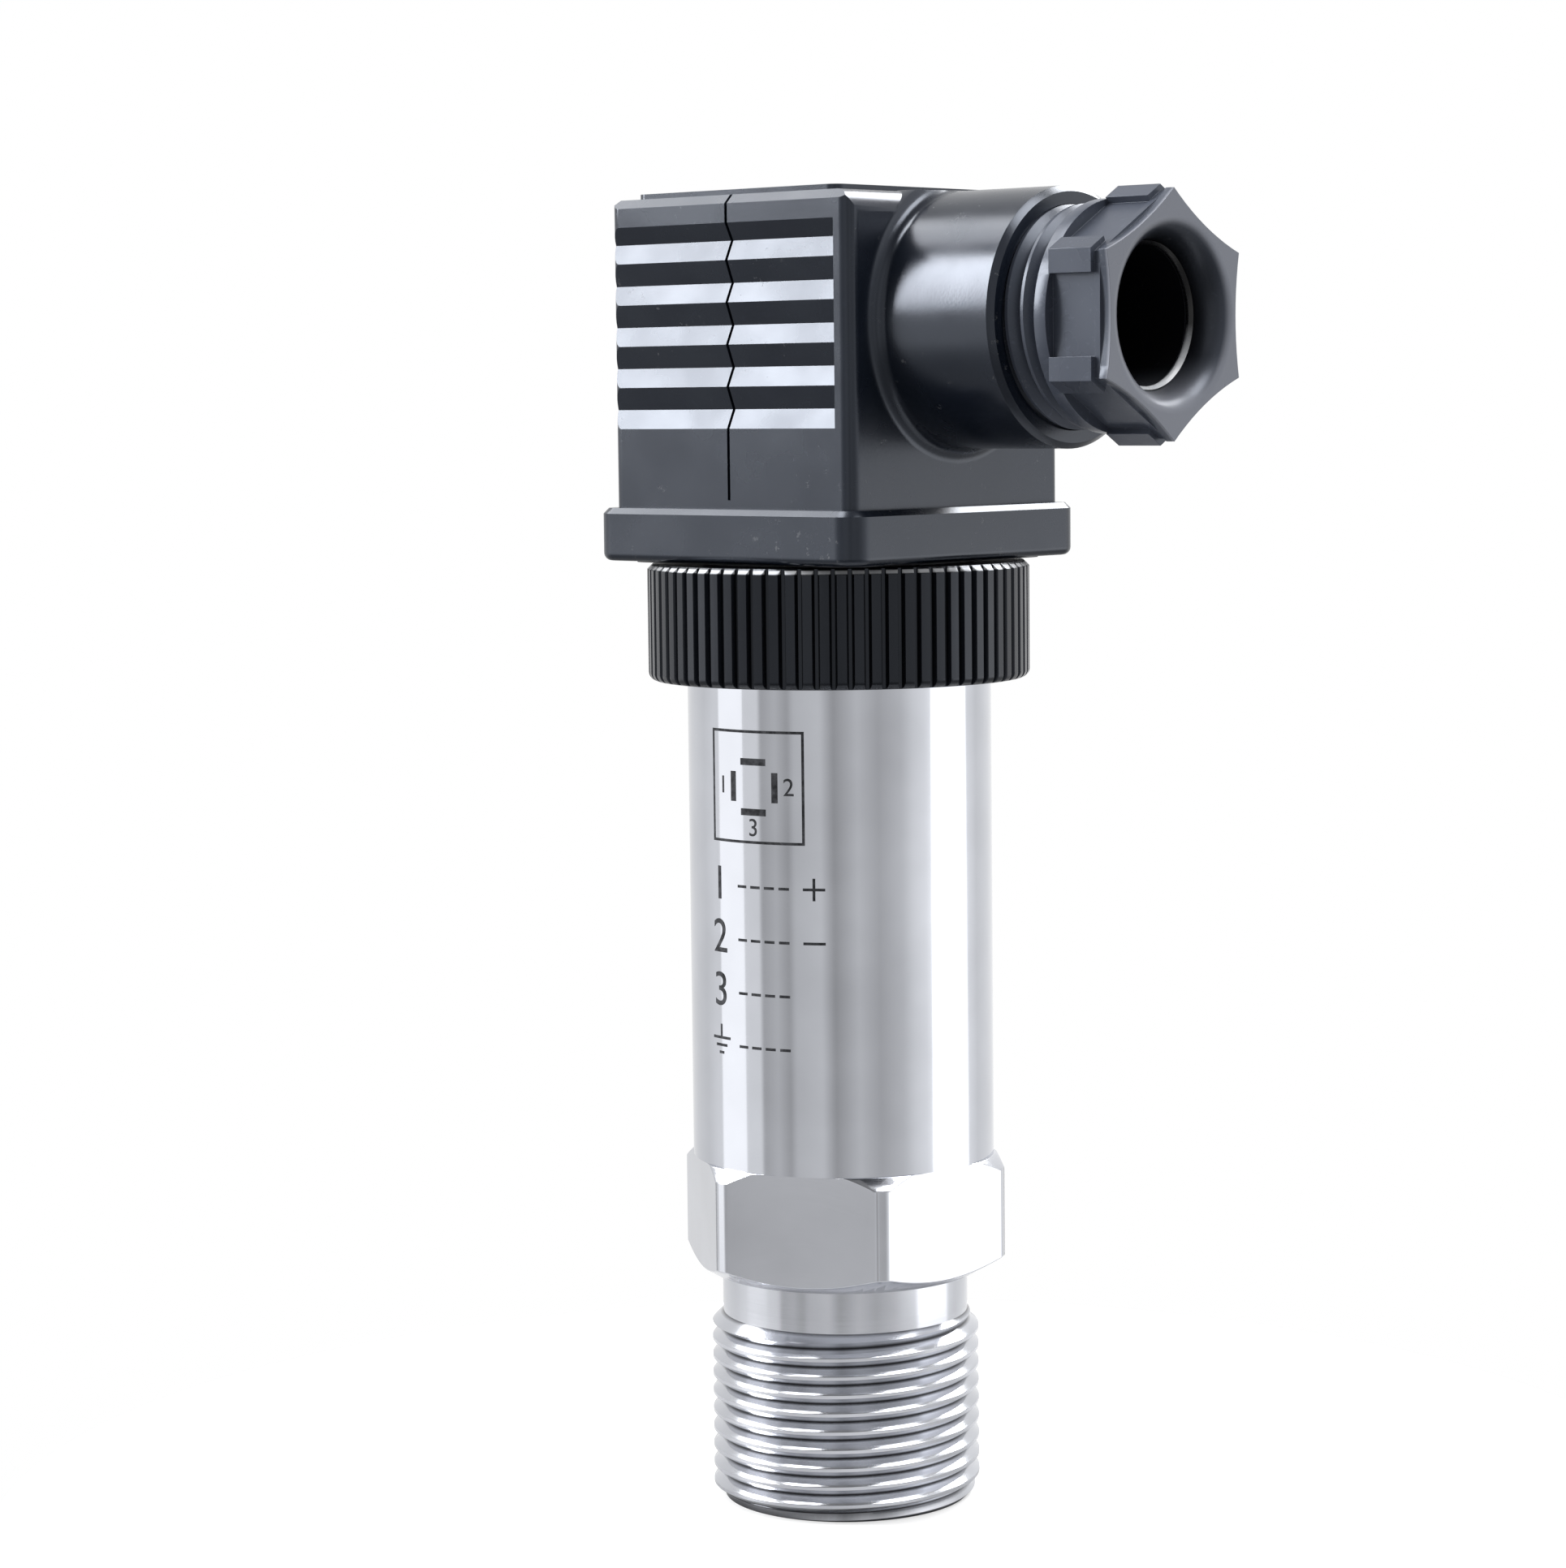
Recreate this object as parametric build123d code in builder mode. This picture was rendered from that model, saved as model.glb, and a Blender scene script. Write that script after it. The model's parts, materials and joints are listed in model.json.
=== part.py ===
"""Pressure transmitter: a stainless process fitting and tube under a right-angle plug head.

Lengths are in millimetres. +Z runs up the tube's axis. The origin is the centre of the pressure
port's mouth, on the flat end of the process thread, and +X points out of the cable outlet.
"""
from build123d import *
import os
from math import cos, radians, sin, tan

# Process fitting, one turned piece
thread_diameter = 22.0
thread_pitch = 1.5
thread_depth_ratio = 0.6134
thread_reach = 18.9
undercut_length = 3.5
port_diameter = 6.0
hex_flat_inset = 0.35
hex_corner_land = 1.5
hex_height = 9.65
hex_turn = -35.6
hex_lower_bevel_angle = 30.0
hex_upper_bevel = 0.95
spigot_wall = 1.55

# Tube around the electronics
tube_diameter = 24.7
tube_wall = 1.2
tube_length = 43.45
tube_thread_step = 0.35
tube_thread_length = 3.4

# Pressure capsule, the oil-filled can behind the diaphragm
capsule_height = 14.0
capsule_seat_depth = 6.55
capsule_rim = 1.0
seal_chamber_depth = 0.6
seal_land = 2.25
diaphragm_thickness = 0.16
diaphragm_wave = 0.14
diaphragm_waves = 5
diaphragm_room = 0.3
capsule_groove_width = 2.0
capsule_groove_depth = 1.3
capsule_groove_height = 6.0
retaining_ring_height = 3.0
retaining_ring_wall = 2.7
spanner_hole_diameter = 1.8
pin_diameter = 0.6
pin_inset = 1.8
pin_count = 5
pin_tip = 0.8
board_lift = 1.05

# Circuit boards
board_thickness = 1.6
header_room = 11.25
component_margin = 0.75
spacer_diameter = 4.0
spacer_count = 3
rotor_diameter = 4.0
rotor_depth = 1.2
rotor_slot_width = 0.7
rotor_slot_depth = 0.5
trimmer_wall = 1.1
trimmer_corner = 0.4
trimmer_height = 4.4
trimmer_gap = 2.4
trimmer_inset = 7.35
lead_diameter = 1.1
lead_turn = 12.0
lead_run = 3.0
lead_bend = 1.4
lead_end_gap = 0.4

# Parts soldered to the boards
chip_length = 6.0
chip_width = 4.4
chip_height = 1.5
chip_gap = 0.8
lower_chip_length = 5.0
lower_chip_width = 3.8
resistor_length = 2.0
resistor_width = 1.2
resistor_height = 0.6
resistor_pitch = 2.4
resistor_inset = 3.35
resistor_rows = 3
capacitor_diameter = 3.8
capacitor_height = 4.6
capacitor_turn = 43.0

# Pin header, the moulded base that carries the contact blades
header_flange_height = 2.4
header_flange_step = 0.2
header_shoulder = 1.2
header_spigot_height = 3.2
header_blade_wall = 0.65
header_pocket_wall = 1.2
header_pocket_depth = 2.6
header_rise = 0.15
header_groove_drop = 0.7
header_groove_width = 1.2
header_groove_depth = 0.9
nut_wall = 0.75

# Contact blades and the terminals that grip them
blade_width = 6.3
blade_thickness = 0.8
blade_height = 11.0
blade_count = 4
contact_angles = (0, 180, 270)
earth_angle = 90
blade_tip_bevel = 0.9
tag_width = 3.0
tag_length = 4.0
tag_hole_diameter = 1.2
tag_hole_rise = 1.5
blade_slot_play = 0.3
sleeve_wall = 0.5
sleeve_end = 0.5
terminal_block_wall = 0.45
terminal_block_width = 5.2
terminal_block_height = 5.8
terminal_screw_diameter = 2.8
terminal_screw_head_rim = 0.4
terminal_screw_head_height = 1.4
terminal_screw_length = 4.2
terminal_slot_width = 0.8
terminal_slot_depth = 0.7

# Clamp ring around the joint between tube and head
ring_wall = 2.95
ring_skirt = 1.05
ring_lip = 2.4
ring_tooth_count = 72
ring_groove_width = 0.62
ring_groove_floor = 0.26
ring_groove_depth = 0.45
ring_groove_overrun = 0.3
ring_top_bevel = 0.45
ring_bottom_round = 0.7

# Plug housing
skirt_overhang = 1.15
skirt_wall = 1.85
skirt_height = 4.25
skirt_corner = 2.0
skirt_top_bevel = 0.45
skirt_bottom_round = 0.65
body_height = 24.6
body_corner = 1.1
body_top_bevel = 0.7
body_front_round = 1.8
panel_rise = 0.45
panel_inset = 1.5
body_wall = 1.85
roof_thickness = 2.5
rib_pitch = 3.29
rib_span = 16.07
rib_rise_share = 0.46
rib_depth = 0.72
rib_count = 5
first_rib_drop = 2.2
rib_stop = 1.65
rib_overrun = 1.0
seam_width = 0.28
seam_depth = 0.35
outlet_wall = 1.4
outlet_top_rise = 0.05
outlet_length = 11.55
outlet_rim_bevel = 0.45
outlet_root_round = 1.2
post_side = 3.0
pillar_wall = 1.25
pillar_length = 4.6

# Sealing mat and terminal carrier inside the housing
gasket_thickness = 1.5
gasket_proud = 0.15
insert_wall = 0.95
insert_rim = 3.0
insert_corner = 1.0
insert_floor = 1.0

# Captive fixing screw
screw_diameter = 3.0
screw_head_diameter = 5.5
screw_head_height = 2.0
screw_slot_width = 0.9
screw_slot_depth = 1.0
screw_engagement = 4.0
screw_washer_thickness = 0.8
screw_well_depth = 3.2

# Cable gland
gland_thread_diameter = 17.2
gland_thread_length = 7.2
gland_engagement = 4.0
gland_end_bevel = 0.5
gland_collar_step = 0.3
gland_collar_length = 1.1
gland_head_inset = 0.1
gland_head_length = 4.0
gland_flat_width = 6.2
gland_flat_depth = 0.55
gland_neck_length = 0.5
gland_neck_inset = 0.45
gland_flange_spread = 1.0
gland_flange_length = 0.8
gland_flange_hollow = 0.45
gland_wall = 3.2
gland_mouth_flare = 2.1
gland_mouth_depth = 3.0
gland_mouth_step = 0.25
washer_thickness = 0.9
washer_lip = 0.2
grommet_shelf = 1.4
grommet_length = 4.6
grommet_lip = 1.4
grommet_ring_inset = 1.4
grommet_ring_width = 0.6
grommet_ring_depth = 0.8

# Clearances
slip = 0.05
running = 0.10
turning = 0.20

# Angles
quarter_turn = 90.0
hexagon_step = 60.0

# Fits between tube, fitting and capsule
thread_radius = thread_diameter / 2
thread_depth = thread_depth_ratio * thread_pitch
core_radius = thread_radius - thread_depth
tube_radius = tube_diameter / 2
tube_bore = tube_radius - tube_wall
tube_thread_radius = tube_radius - tube_thread_step
hex_across_flats = tube_diameter - 2 * hex_flat_inset
hex_across_corners = hex_across_flats + 2 * hex_corner_land
spigot_radius = tube_bore - slip
seat_radius = spigot_radius - spigot_wall
capsule_radius = seat_radius - slip
seal_chamber_radius = capsule_radius - seal_land
diaphragm_radius = capsule_radius - capsule_rim
retaining_ring_bore = 2 * (capsule_radius - retaining_ring_wall)
pin_circle_radius = retaining_ring_bore / 2 - pin_inset
board_radius = tube_bore - turning

# Places on the boards
trimmer_side = rotor_diameter + 2 * (running + trimmer_wall)
trimmer_x = (trimmer_side + trimmer_gap) / 2
trimmer_y = trimmer_inset - board_radius
chip_y = trimmer_y + trimmer_side / 2 + chip_gap + chip_width / 2
spacer_circle_radius = board_radius - spacer_diameter / 2 - component_margin

# Fits between header, blades and ring
header_spigot_radius = tube_bore - turning
header_flange_radius = tube_thread_radius + header_flange_step
neck_radius = header_flange_radius - header_shoulder
blade_offset = header_spigot_radius - header_groove_depth - header_blade_wall - blade_thickness / 2
header_pocket_radius = blade_offset - blade_thickness / 2 - header_pocket_wall
nut_diameter = screw_diameter + 2 * (slip + nut_wall)
ring_radius = tube_radius + turning + ring_wall

# Fits inside the plug housing
sleeve_thick = blade_thickness + 2 * (running + sleeve_wall)
sleeve_wide = blade_width + 2 * (running + sleeve_wall)
insert_side = 2 * (blade_offset + insert_wall) + sleeve_thick
cavity_side = insert_side + 2 * slip
body_side = cavity_side + 2 * body_wall
skirt_side = body_side + 2 * skirt_overhang
gasket_side = skirt_side - 2 * (skirt_wall + slip)
blade_slot = (blade_thickness + 2 * blade_slot_play, blade_width + 2 * blade_slot_play)
terminal_block_length = terminal_screw_diameter + 2 * (slip + terminal_block_wall)
block_middle = blade_offset - sleeve_thick / 2 - terminal_block_length / 2
well_radius = screw_head_diameter / 2 + turning
pillar_radius = well_radius + pillar_wall

# Fits of the cable gland
gland_radius = gland_thread_diameter / 2
gland_bore_radius = gland_radius - gland_wall
gland_mouth_radius = gland_bore_radius + gland_mouth_flare
gland_head_flats = 2 * (gland_radius - gland_head_inset)
gland_neck_flats = gland_head_flats - 2 * gland_neck_inset
gland_flange_radius = gland_head_flats / 2 + gland_flange_spread
washer_bore_radius = gland_bore_radius - washer_lip
grommet_bore_radius = gland_bore_radius - grommet_lip
outlet_bore_radius = gland_radius + slip
outlet_radius = outlet_bore_radius + outlet_wall

# Levels along the tube's axis
hex_top = thread_reach + hex_height
seat_floor = hex_top - capsule_seat_depth
capsule_top = seat_floor + capsule_height
spigot_top = capsule_top + retaining_ring_height + board_lift
lower_board_top = spigot_top + board_thickness
tube_top = hex_top + tube_length
tube_step = tube_top - tube_thread_length
flange_bottom = tube_top + running
flange_top = flange_bottom + header_flange_height
header_bottom = flange_bottom - header_spigot_height
upper_board_top = header_bottom - header_room
upper_board_bottom = upper_board_top - board_thickness
trimmer_top = upper_board_top + trimmer_height
ring_top = flange_top + running + ring_lip
ring_bottom = tube_step - ring_skirt
header_top = ring_top + header_rise
nut_bottom = header_bottom + header_pocket_depth
blade_tip = header_top + blade_height
gasket_top = header_top + gasket_thickness
sleeve_bottom = gasket_top + insert_floor
sleeve_top = blade_tip + sleeve_end
insert_top = sleeve_top + insert_rim
block_top = insert_top - terminal_screw_head_height - turning
block_bottom = block_top - terminal_block_height
skirt_bottom = header_top + gasket_proud
skirt_top = skirt_bottom + skirt_height
body_top = skirt_top + body_height
roof_bottom = body_top - roof_thickness
panel_top = body_top + panel_rise
well_floor = panel_top - screw_well_depth
outlet_axis = body_top - outlet_radius + outlet_top_rise

# Places along the cable outlet
body_front = body_side / 2
outlet_end = body_front + outlet_length
gland_end = outlet_end - gland_engagement
collar_start = gland_end + gland_thread_length
head_start = collar_start + gland_collar_length
neck_start = head_start + gland_head_length
flange_start = neck_start + gland_neck_length
gland_face = flange_start + gland_flange_length
grommet_seat = cavity_side / 2 + grommet_shelf

os.makedirs("parts", exist_ok=True)

# Process fitting: hexagon first, then the thread stub below it and the spigot above it
lower_bevel_rise = (hex_across_corners / 2 - thread_radius) * tan(radians(hex_lower_bevel_angle))
with BuildPart() as process_fitting:
    with BuildSketch(Plane.XY.offset(thread_reach)):
        RegularPolygon(hex_across_flats / 2, 6, major_radius=False, rotation=hex_turn)
    extrude(amount=hex_height)
    with BuildSketch(Plane.XZ):
        with BuildLine():
            Polyline(
                (0, thread_reach),
                (thread_radius, thread_reach),
                (hex_across_corners / 2, thread_reach + lower_bevel_rise),
                (hex_across_corners / 2, hex_top - hex_upper_bevel),
                (hex_across_corners / 2 - hex_upper_bevel, hex_top),
                (0, hex_top),
                close=True,
            )
        make_face()
    revolve(axis=Axis.Z, mode=Mode.INTERSECT)
    with BuildSketch(Plane.XZ):
        with BuildLine():
            Polyline(
                (0, 0),
                (core_radius, 0),
                (thread_radius, thread_depth),
                (thread_radius, thread_reach - undercut_length - thread_depth),
                (core_radius, thread_reach - undercut_length),
                (core_radius, thread_reach),
                (0, thread_reach),
                close=True,
            )
        make_face()
    revolve(axis=Axis.Z)
    with BuildSketch(Plane.XY.offset(hex_top)):
        Circle(spigot_radius)
    extrude(amount=spigot_top - hex_top)
    with BuildSketch(Plane.XY.offset(seat_floor)):
        Circle(seat_radius)
    extrude(amount=spigot_top - seat_floor, mode=Mode.SUBTRACT)
    with BuildSketch(Plane.XY.offset(seat_floor - seal_chamber_depth)):
        Circle(seal_chamber_radius)
    extrude(amount=seal_chamber_depth, mode=Mode.SUBTRACT)
    with BuildSketch():
        Circle(port_diameter / 2)
    extrude(amount=seat_floor, mode=Mode.SUBTRACT)
process_fitting.part.label = "process_fitting"
export_step(process_fitting.part, "parts/process_fitting.step")

# Tube: seated on the hexagon around the spigot, threaded outside at its top
with BuildPart() as body_tube:
    with BuildSketch(Plane.XZ):
        with BuildLine():
            Polyline(
                (tube_bore, hex_top),
                (tube_radius, hex_top),
                (tube_radius, tube_step),
                (tube_thread_radius, tube_step),
                (tube_thread_radius, tube_top),
                (tube_bore, tube_top),
                close=True,
            )
        make_face()
    revolve(axis=Axis.Z)
body_tube.part.label = "body_tube"
export_step(body_tube.part, "parts/body_tube.step")

# Pressure capsule: a solid can with a dished front, a seal groove and a flat back
groove_bottom = seat_floor + capsule_groove_height - capsule_groove_width / 2
dish_depth = 2 * diaphragm_wave + diaphragm_thickness + diaphragm_room
with BuildPart() as sensor_capsule:
    with BuildSketch(Plane.XZ):
        with BuildLine():
            Polyline(
                (0, seat_floor + dish_depth),
                (diaphragm_radius, seat_floor + dish_depth),
                (diaphragm_radius, seat_floor),
                (capsule_radius, seat_floor),
                (capsule_radius, groove_bottom),
                (capsule_radius - capsule_groove_depth, groove_bottom),
                (capsule_radius - capsule_groove_depth, groove_bottom + capsule_groove_width),
                (capsule_radius, groove_bottom + capsule_groove_width),
                (capsule_radius, capsule_top),
                (0, capsule_top),
                close=True,
            )
        make_face()
    revolve(axis=Axis.Z)
sensor_capsule.part.label = "sensor_capsule"
export_step(sensor_capsule.part, "parts/sensor_capsule.step")

# Isolating diaphragm: a thin foil pressed into rings, welded inside the capsule's front rim
foil_middle = seat_floor + dish_depth / 2
wave_count = 2 * diaphragm_waves
wave_step = (diaphragm_radius - slip) / (wave_count + 1)
foil_line = [
    (wave_step * (i + 1), foil_middle + diaphragm_wave * (-1) ** i) for i in range(wave_count)
]
foil_line = [(0, foil_middle)] + foil_line + [(diaphragm_radius - slip, foil_middle)]
foil_top = [(r, z + diaphragm_thickness) for r, z in reversed(foil_line)]
with BuildPart() as isolating_diaphragm:
    with BuildSketch(Plane.XZ):
        with BuildLine():
            Polyline(*foil_line, *foil_top, close=True)
        make_face()
    revolve(axis=Axis.Z)
isolating_diaphragm.part.label = "isolating_diaphragm"
export_step(isolating_diaphragm.part, "parts/isolating_diaphragm.step")

# Capsule seal: a round ring in the capsule's groove
capsule_seal_section = (capsule_groove_depth + slip) / 2 - slip
with BuildPart() as capsule_o_ring:
    with BuildSketch(Plane.XZ):
        with Locations((capsule_radius - capsule_groove_depth / 2, seat_floor + capsule_groove_height)):
            Circle(capsule_seal_section)
    revolve(axis=Axis.Z)
capsule_o_ring.part.label = "capsule_o_ring"
export_step(capsule_o_ring.part, "parts/capsule_o_ring.step")

# Retaining ring: screwed down on the capsule, with two holes for a spanner
with BuildPart() as retaining_ring:
    with BuildSketch(Plane.XY.offset(capsule_top)):
        Circle(capsule_radius)
        Circle(retaining_ring_bore / 2, mode=Mode.SUBTRACT)
        with PolarLocations((capsule_radius + retaining_ring_bore / 2) / 2, 2):
            Circle(spanner_hole_diameter / 2, mode=Mode.SUBTRACT)
    extrude(amount=retaining_ring_height)
retaining_ring.part.label = "retaining_ring"
export_step(retaining_ring.part, "parts/retaining_ring.step")

# Capsule pins: glass-sealed wires that stand up through the lower board
with BuildPart() as capsule_pins:
    with BuildSketch(Plane.XY.offset(capsule_top)):
        with PolarLocations(pin_circle_radius, pin_count):
            Circle(pin_diameter / 2)
    extrude(amount=lower_board_top + pin_tip - capsule_top)
capsule_pins.part.label = "capsule_pins"
export_step(capsule_pins.part, "parts/capsule_pins.step")

# Lower board: rests on the spigot's rim and takes the capsule pins
with BuildPart() as compensation_board:
    with BuildSketch(Plane.XY.offset(spigot_top)):
        Circle(board_radius)
        with PolarLocations(pin_circle_radius, pin_count):
            Circle(pin_diameter / 2 + slip, mode=Mode.SUBTRACT)
    extrude(amount=board_thickness)
compensation_board.part.label = "compensation_board"
export_step(compensation_board.part, "parts/compensation_board.step")

# Spacers: brass pillars between the two boards
with BuildPart() as board_spacers:
    with BuildSketch(Plane.XY.offset(lower_board_top)):
        with PolarLocations(spacer_circle_radius, spacer_count, start_angle=quarter_turn):
            RegularPolygon(spacer_diameter / 2, 6)
    extrude(amount=upper_board_bottom - lower_board_top)
board_spacers.part.label = "board_spacers"
export_step(board_spacers.part, "parts/board_spacers.step")

# Upper board: carries the amplifier and the two trimmers
with BuildPart() as amplifier_board:
    with BuildSketch(Plane.XY.offset(upper_board_bottom)):
        Circle(board_radius)
    extrude(amount=board_thickness)
amplifier_board.part.label = "amplifier_board"
export_step(amplifier_board.part, "parts/amplifier_board.step")

# Chips, capacitors and rows of resistors soldered to the boards
capacitor_radius = capacitor_diameter / 2
capacitor_circle_radius = board_radius - capacitor_radius - component_margin
resistor_places = 2 * (board_radius - resistor_inset)
with BuildPart() as board_components:
    with BuildSketch(Plane.XY.offset(upper_board_top)):
        with Locations((0, chip_y)):
            Rectangle(chip_length, chip_width)
    extrude(amount=chip_height)
    with BuildSketch(Plane.XY.offset(lower_board_top)):
        Rectangle(lower_chip_length, lower_chip_width)
    extrude(amount=chip_height)
    with BuildSketch(Plane.XY.offset(upper_board_top)):
        for turn in (capacitor_turn, 180 - capacitor_turn):
            with PolarLocations(capacitor_circle_radius, 1, start_angle=turn):
                Circle(capacitor_radius)
    extrude(amount=capacitor_height)
    with BuildSketch(Plane.XY.offset(lower_board_top)):
        with Locations((0, resistor_pitch)):
            with GridLocations(resistor_places, resistor_pitch, 2, resistor_rows):
                Rectangle(resistor_length, resistor_width)
    extrude(amount=resistor_height)
board_components.part.label = "board_components"
export_step(board_components.part, "parts/board_components.step")

# Trimmer bodies: square pots, open on top where the rotor sits
trimmer_places = [(-trimmer_x, trimmer_y), (trimmer_x, trimmer_y)]
with BuildPart() as trimmer_bodies:
    with BuildSketch(Plane.XY.offset(upper_board_top)):
        with Locations(*trimmer_places):
            RectangleRounded(trimmer_side, trimmer_side, trimmer_corner)
    extrude(amount=trimmer_height)
    with BuildSketch(Plane.XY.offset(trimmer_top - rotor_depth)):
        with Locations(*trimmer_places):
            Circle(rotor_diameter / 2 + running)
    extrude(amount=rotor_depth, mode=Mode.SUBTRACT)
trimmer_bodies.part.label = "trimmer_bodies"
export_step(trimmer_bodies.part, "parts/trimmer_bodies.step")

# Trimmer rotors: slotted discs, one for zero and one for span
for rotor_name, rotor_place in zip(("zero_trimmer", "span_trimmer"), trimmer_places):
    with BuildPart() as rotor:
        with BuildSketch(Plane.XY.offset(trimmer_top - rotor_depth + slip)):
            with Locations(rotor_place):
                Circle(rotor_diameter / 2)
        extrude(amount=rotor_depth)
        with BuildSketch(Plane.XY.offset(trimmer_top + slip)):
            with Locations(rotor_place):
                Rectangle(2 * rotor_diameter, rotor_slot_width)
        extrude(amount=-rotor_slot_depth, mode=Mode.SUBTRACT)
    rotor.part.label = rotor_name
    export_step(rotor.part, f"parts/{rotor_name}.step")

# Pin header: flange clamped between tube and ring, spigot in the tube, neck through the ring's lip
header_groove_top = flange_bottom - header_groove_drop
with BuildPart() as pin_header:
    with BuildSketch(Plane.XZ):
        with BuildLine():
            Polyline(
                (0, header_bottom),
                (header_spigot_radius, header_bottom),
                (header_spigot_radius, header_groove_top - header_groove_width),
                (header_spigot_radius - header_groove_depth, header_groove_top - header_groove_width),
                (header_spigot_radius - header_groove_depth, header_groove_top),
                (header_spigot_radius, header_groove_top),
                (header_spigot_radius, flange_bottom),
                (header_flange_radius, flange_bottom),
                (header_flange_radius, flange_top),
                (neck_radius, flange_top),
                (neck_radius, header_top),
                (0, header_top),
                close=True,
            )
        make_face()
    revolve(axis=Axis.Z)
    with BuildSketch(Plane.XY.offset(header_bottom)):
        Circle(header_pocket_radius)
    extrude(amount=header_pocket_depth, mode=Mode.SUBTRACT)
    with BuildSketch(Plane.XY.offset(header_bottom)):
        Circle(nut_diameter / 2)
        with PolarLocations(blade_offset, blade_count):
            Rectangle(blade_thickness, blade_width)
    extrude(amount=header_top - header_bottom, mode=Mode.SUBTRACT)
pin_header.part.label = "pin_header"
export_step(pin_header.part, "parts/pin_header.step")

# Header seal: a round ring in the spigot's groove, against the tube's bore
header_seal_section = (header_groove_depth + turning) / 2 - running
with BuildPart() as header_o_ring:
    with BuildSketch(Plane.XZ):
        with Locations(
            (
                header_spigot_radius - header_groove_depth + header_seal_section + slip,
                header_groove_top - header_groove_width / 2,
            )
        ):
            Circle(header_seal_section)
    revolve(axis=Axis.Z)
header_o_ring.part.label = "header_o_ring"
export_step(header_o_ring.part, "parts/header_o_ring.step")

# Header nut: the brass thread moulded into the middle of the header
with BuildPart() as header_nut:
    with BuildSketch(Plane.XY.offset(nut_bottom)):
        Circle(nut_diameter / 2)
        Circle(screw_diameter / 2 + slip, mode=Mode.SUBTRACT)
    extrude(amount=header_top - nut_bottom)
header_nut.part.label = "header_nut"
export_step(header_nut.part, "parts/header_nut.step")


def make_blades(angles):
    """Flat blades with a bevelled tip above the header and a soldering tag below it."""
    with BuildPart() as blades:
        for angle in angles:
            outwards = Vector(1, 0, 0).rotate(Axis.Z, angle)
            across = Vector(0, 1, 0).rotate(Axis.Z, angle)
            face = Plane(outwards * (blade_offset - blade_thickness / 2), across, outwards)
            with BuildSketch(face):
                with BuildLine():
                    Polyline(
                        (-tag_width / 2, header_bottom - tag_length),
                        (tag_width / 2, header_bottom - tag_length),
                        (tag_width / 2, header_bottom),
                        (blade_width / 2, header_bottom),
                        (blade_width / 2, blade_tip - blade_tip_bevel),
                        (blade_width / 2 - blade_tip_bevel, blade_tip),
                        (-blade_width / 2 + blade_tip_bevel, blade_tip),
                        (-blade_width / 2, blade_tip - blade_tip_bevel),
                        (-blade_width / 2, header_bottom),
                        (-tag_width / 2, header_bottom),
                        close=True,
                    )
                make_face()
                with Locations((0, header_bottom - tag_length + tag_hole_rise)):
                    Circle(tag_hole_diameter / 2, mode=Mode.SUBTRACT)
            extrude(amount=blade_thickness)
    return blades


header_blades = make_blades(contact_angles)
header_blades.part.label = "header_blades"
export_step(header_blades.part, "parts/header_blades.step")
earth_blade = make_blades((earth_angle,))
earth_blade.part.label = "earth_blade"
export_step(earth_blade.part, "parts/earth_blade.step")

# Leads: three insulated wires from the upper board to the blades' tags
lead_angles = (*contact_angles[:2], earth_angle)
lead_inset = blade_offset - blade_thickness / 2 - lead_diameter / 2 - slip
lead_top = header_bottom - lead_end_gap
with BuildPart() as signal_leads:
    for angle, board_turn in zip(lead_angles, (lead_turn, -lead_turn, -lead_turn)):
        start = Vector(lead_inset, 0, upper_board_top).rotate(Axis.Z, angle + board_turn)
        finish = Vector(lead_inset, 0, lead_top).rotate(Axis.Z, angle)
        lower_bend = Vector(start.X, start.Y, upper_board_top + lead_run)
        upper_bend = Vector(finish.X, finish.Y, lead_top - lead_run)
        with BuildLine() as route:
            FilletPolyline(start, lower_bend, upper_bend, finish, radius=lead_bend)
        with BuildSketch(Plane(origin=start, z_dir=(0, 0, 1))):
            Circle(lead_diameter / 2)
        sweep(path=route.wires()[0])
signal_leads.part.label = "signal_leads"
export_step(signal_leads.part, "parts/signal_leads.step")

# Clamp ring: bored to the tube's thread, with a lip over the header's flange and a toothed outside
ring_groove_flare = ring_groove_overrun * (ring_groove_width - ring_groove_floor) / 2 / ring_groove_depth
flange_bore = header_flange_radius + turning
thread_bore = tube_thread_radius + running
skirt_bore = tube_radius + turning
with BuildPart() as knurled_ring:
    with BuildSketch(Plane.XZ):
        with BuildLine():
            Polyline(
                (skirt_bore, ring_bottom),
                (ring_radius - ring_bottom_round, ring_bottom),
            )
            RadiusArc(
                (ring_radius - ring_bottom_round, ring_bottom),
                (ring_radius, ring_bottom + ring_bottom_round),
                -ring_bottom_round,
            )
            Polyline(
                (ring_radius, ring_bottom + ring_bottom_round),
                (ring_radius, ring_top - ring_top_bevel),
                (ring_radius - ring_top_bevel, ring_top),
                (neck_radius + turning, ring_top),
                (neck_radius + turning, ring_top - ring_lip),
                (flange_bore, ring_top - ring_lip),
                (flange_bore, tube_top),
                (thread_bore, tube_top),
                (thread_bore, tube_step + turning),
                (skirt_bore, tube_step + turning),
                (skirt_bore, ring_bottom),
            )
        make_face()
    revolve(axis=Axis.Z)
    with BuildSketch(Plane.XY.offset(ring_bottom)):
        with PolarLocations(ring_radius, ring_tooth_count):
            Polygon(
                (ring_groove_overrun, ring_groove_width / 2 + ring_groove_flare),
                (-ring_groove_depth, ring_groove_floor / 2),
                (-ring_groove_depth, -ring_groove_floor / 2),
                (ring_groove_overrun, -ring_groove_width / 2 - ring_groove_flare),
                align=None,
            )
    extrude(amount=ring_top - ring_bottom, mode=Mode.SUBTRACT)
knurled_ring.part.label = "knurled_ring"
export_step(knurled_ring.part, "parts/knurled_ring.step")

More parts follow.
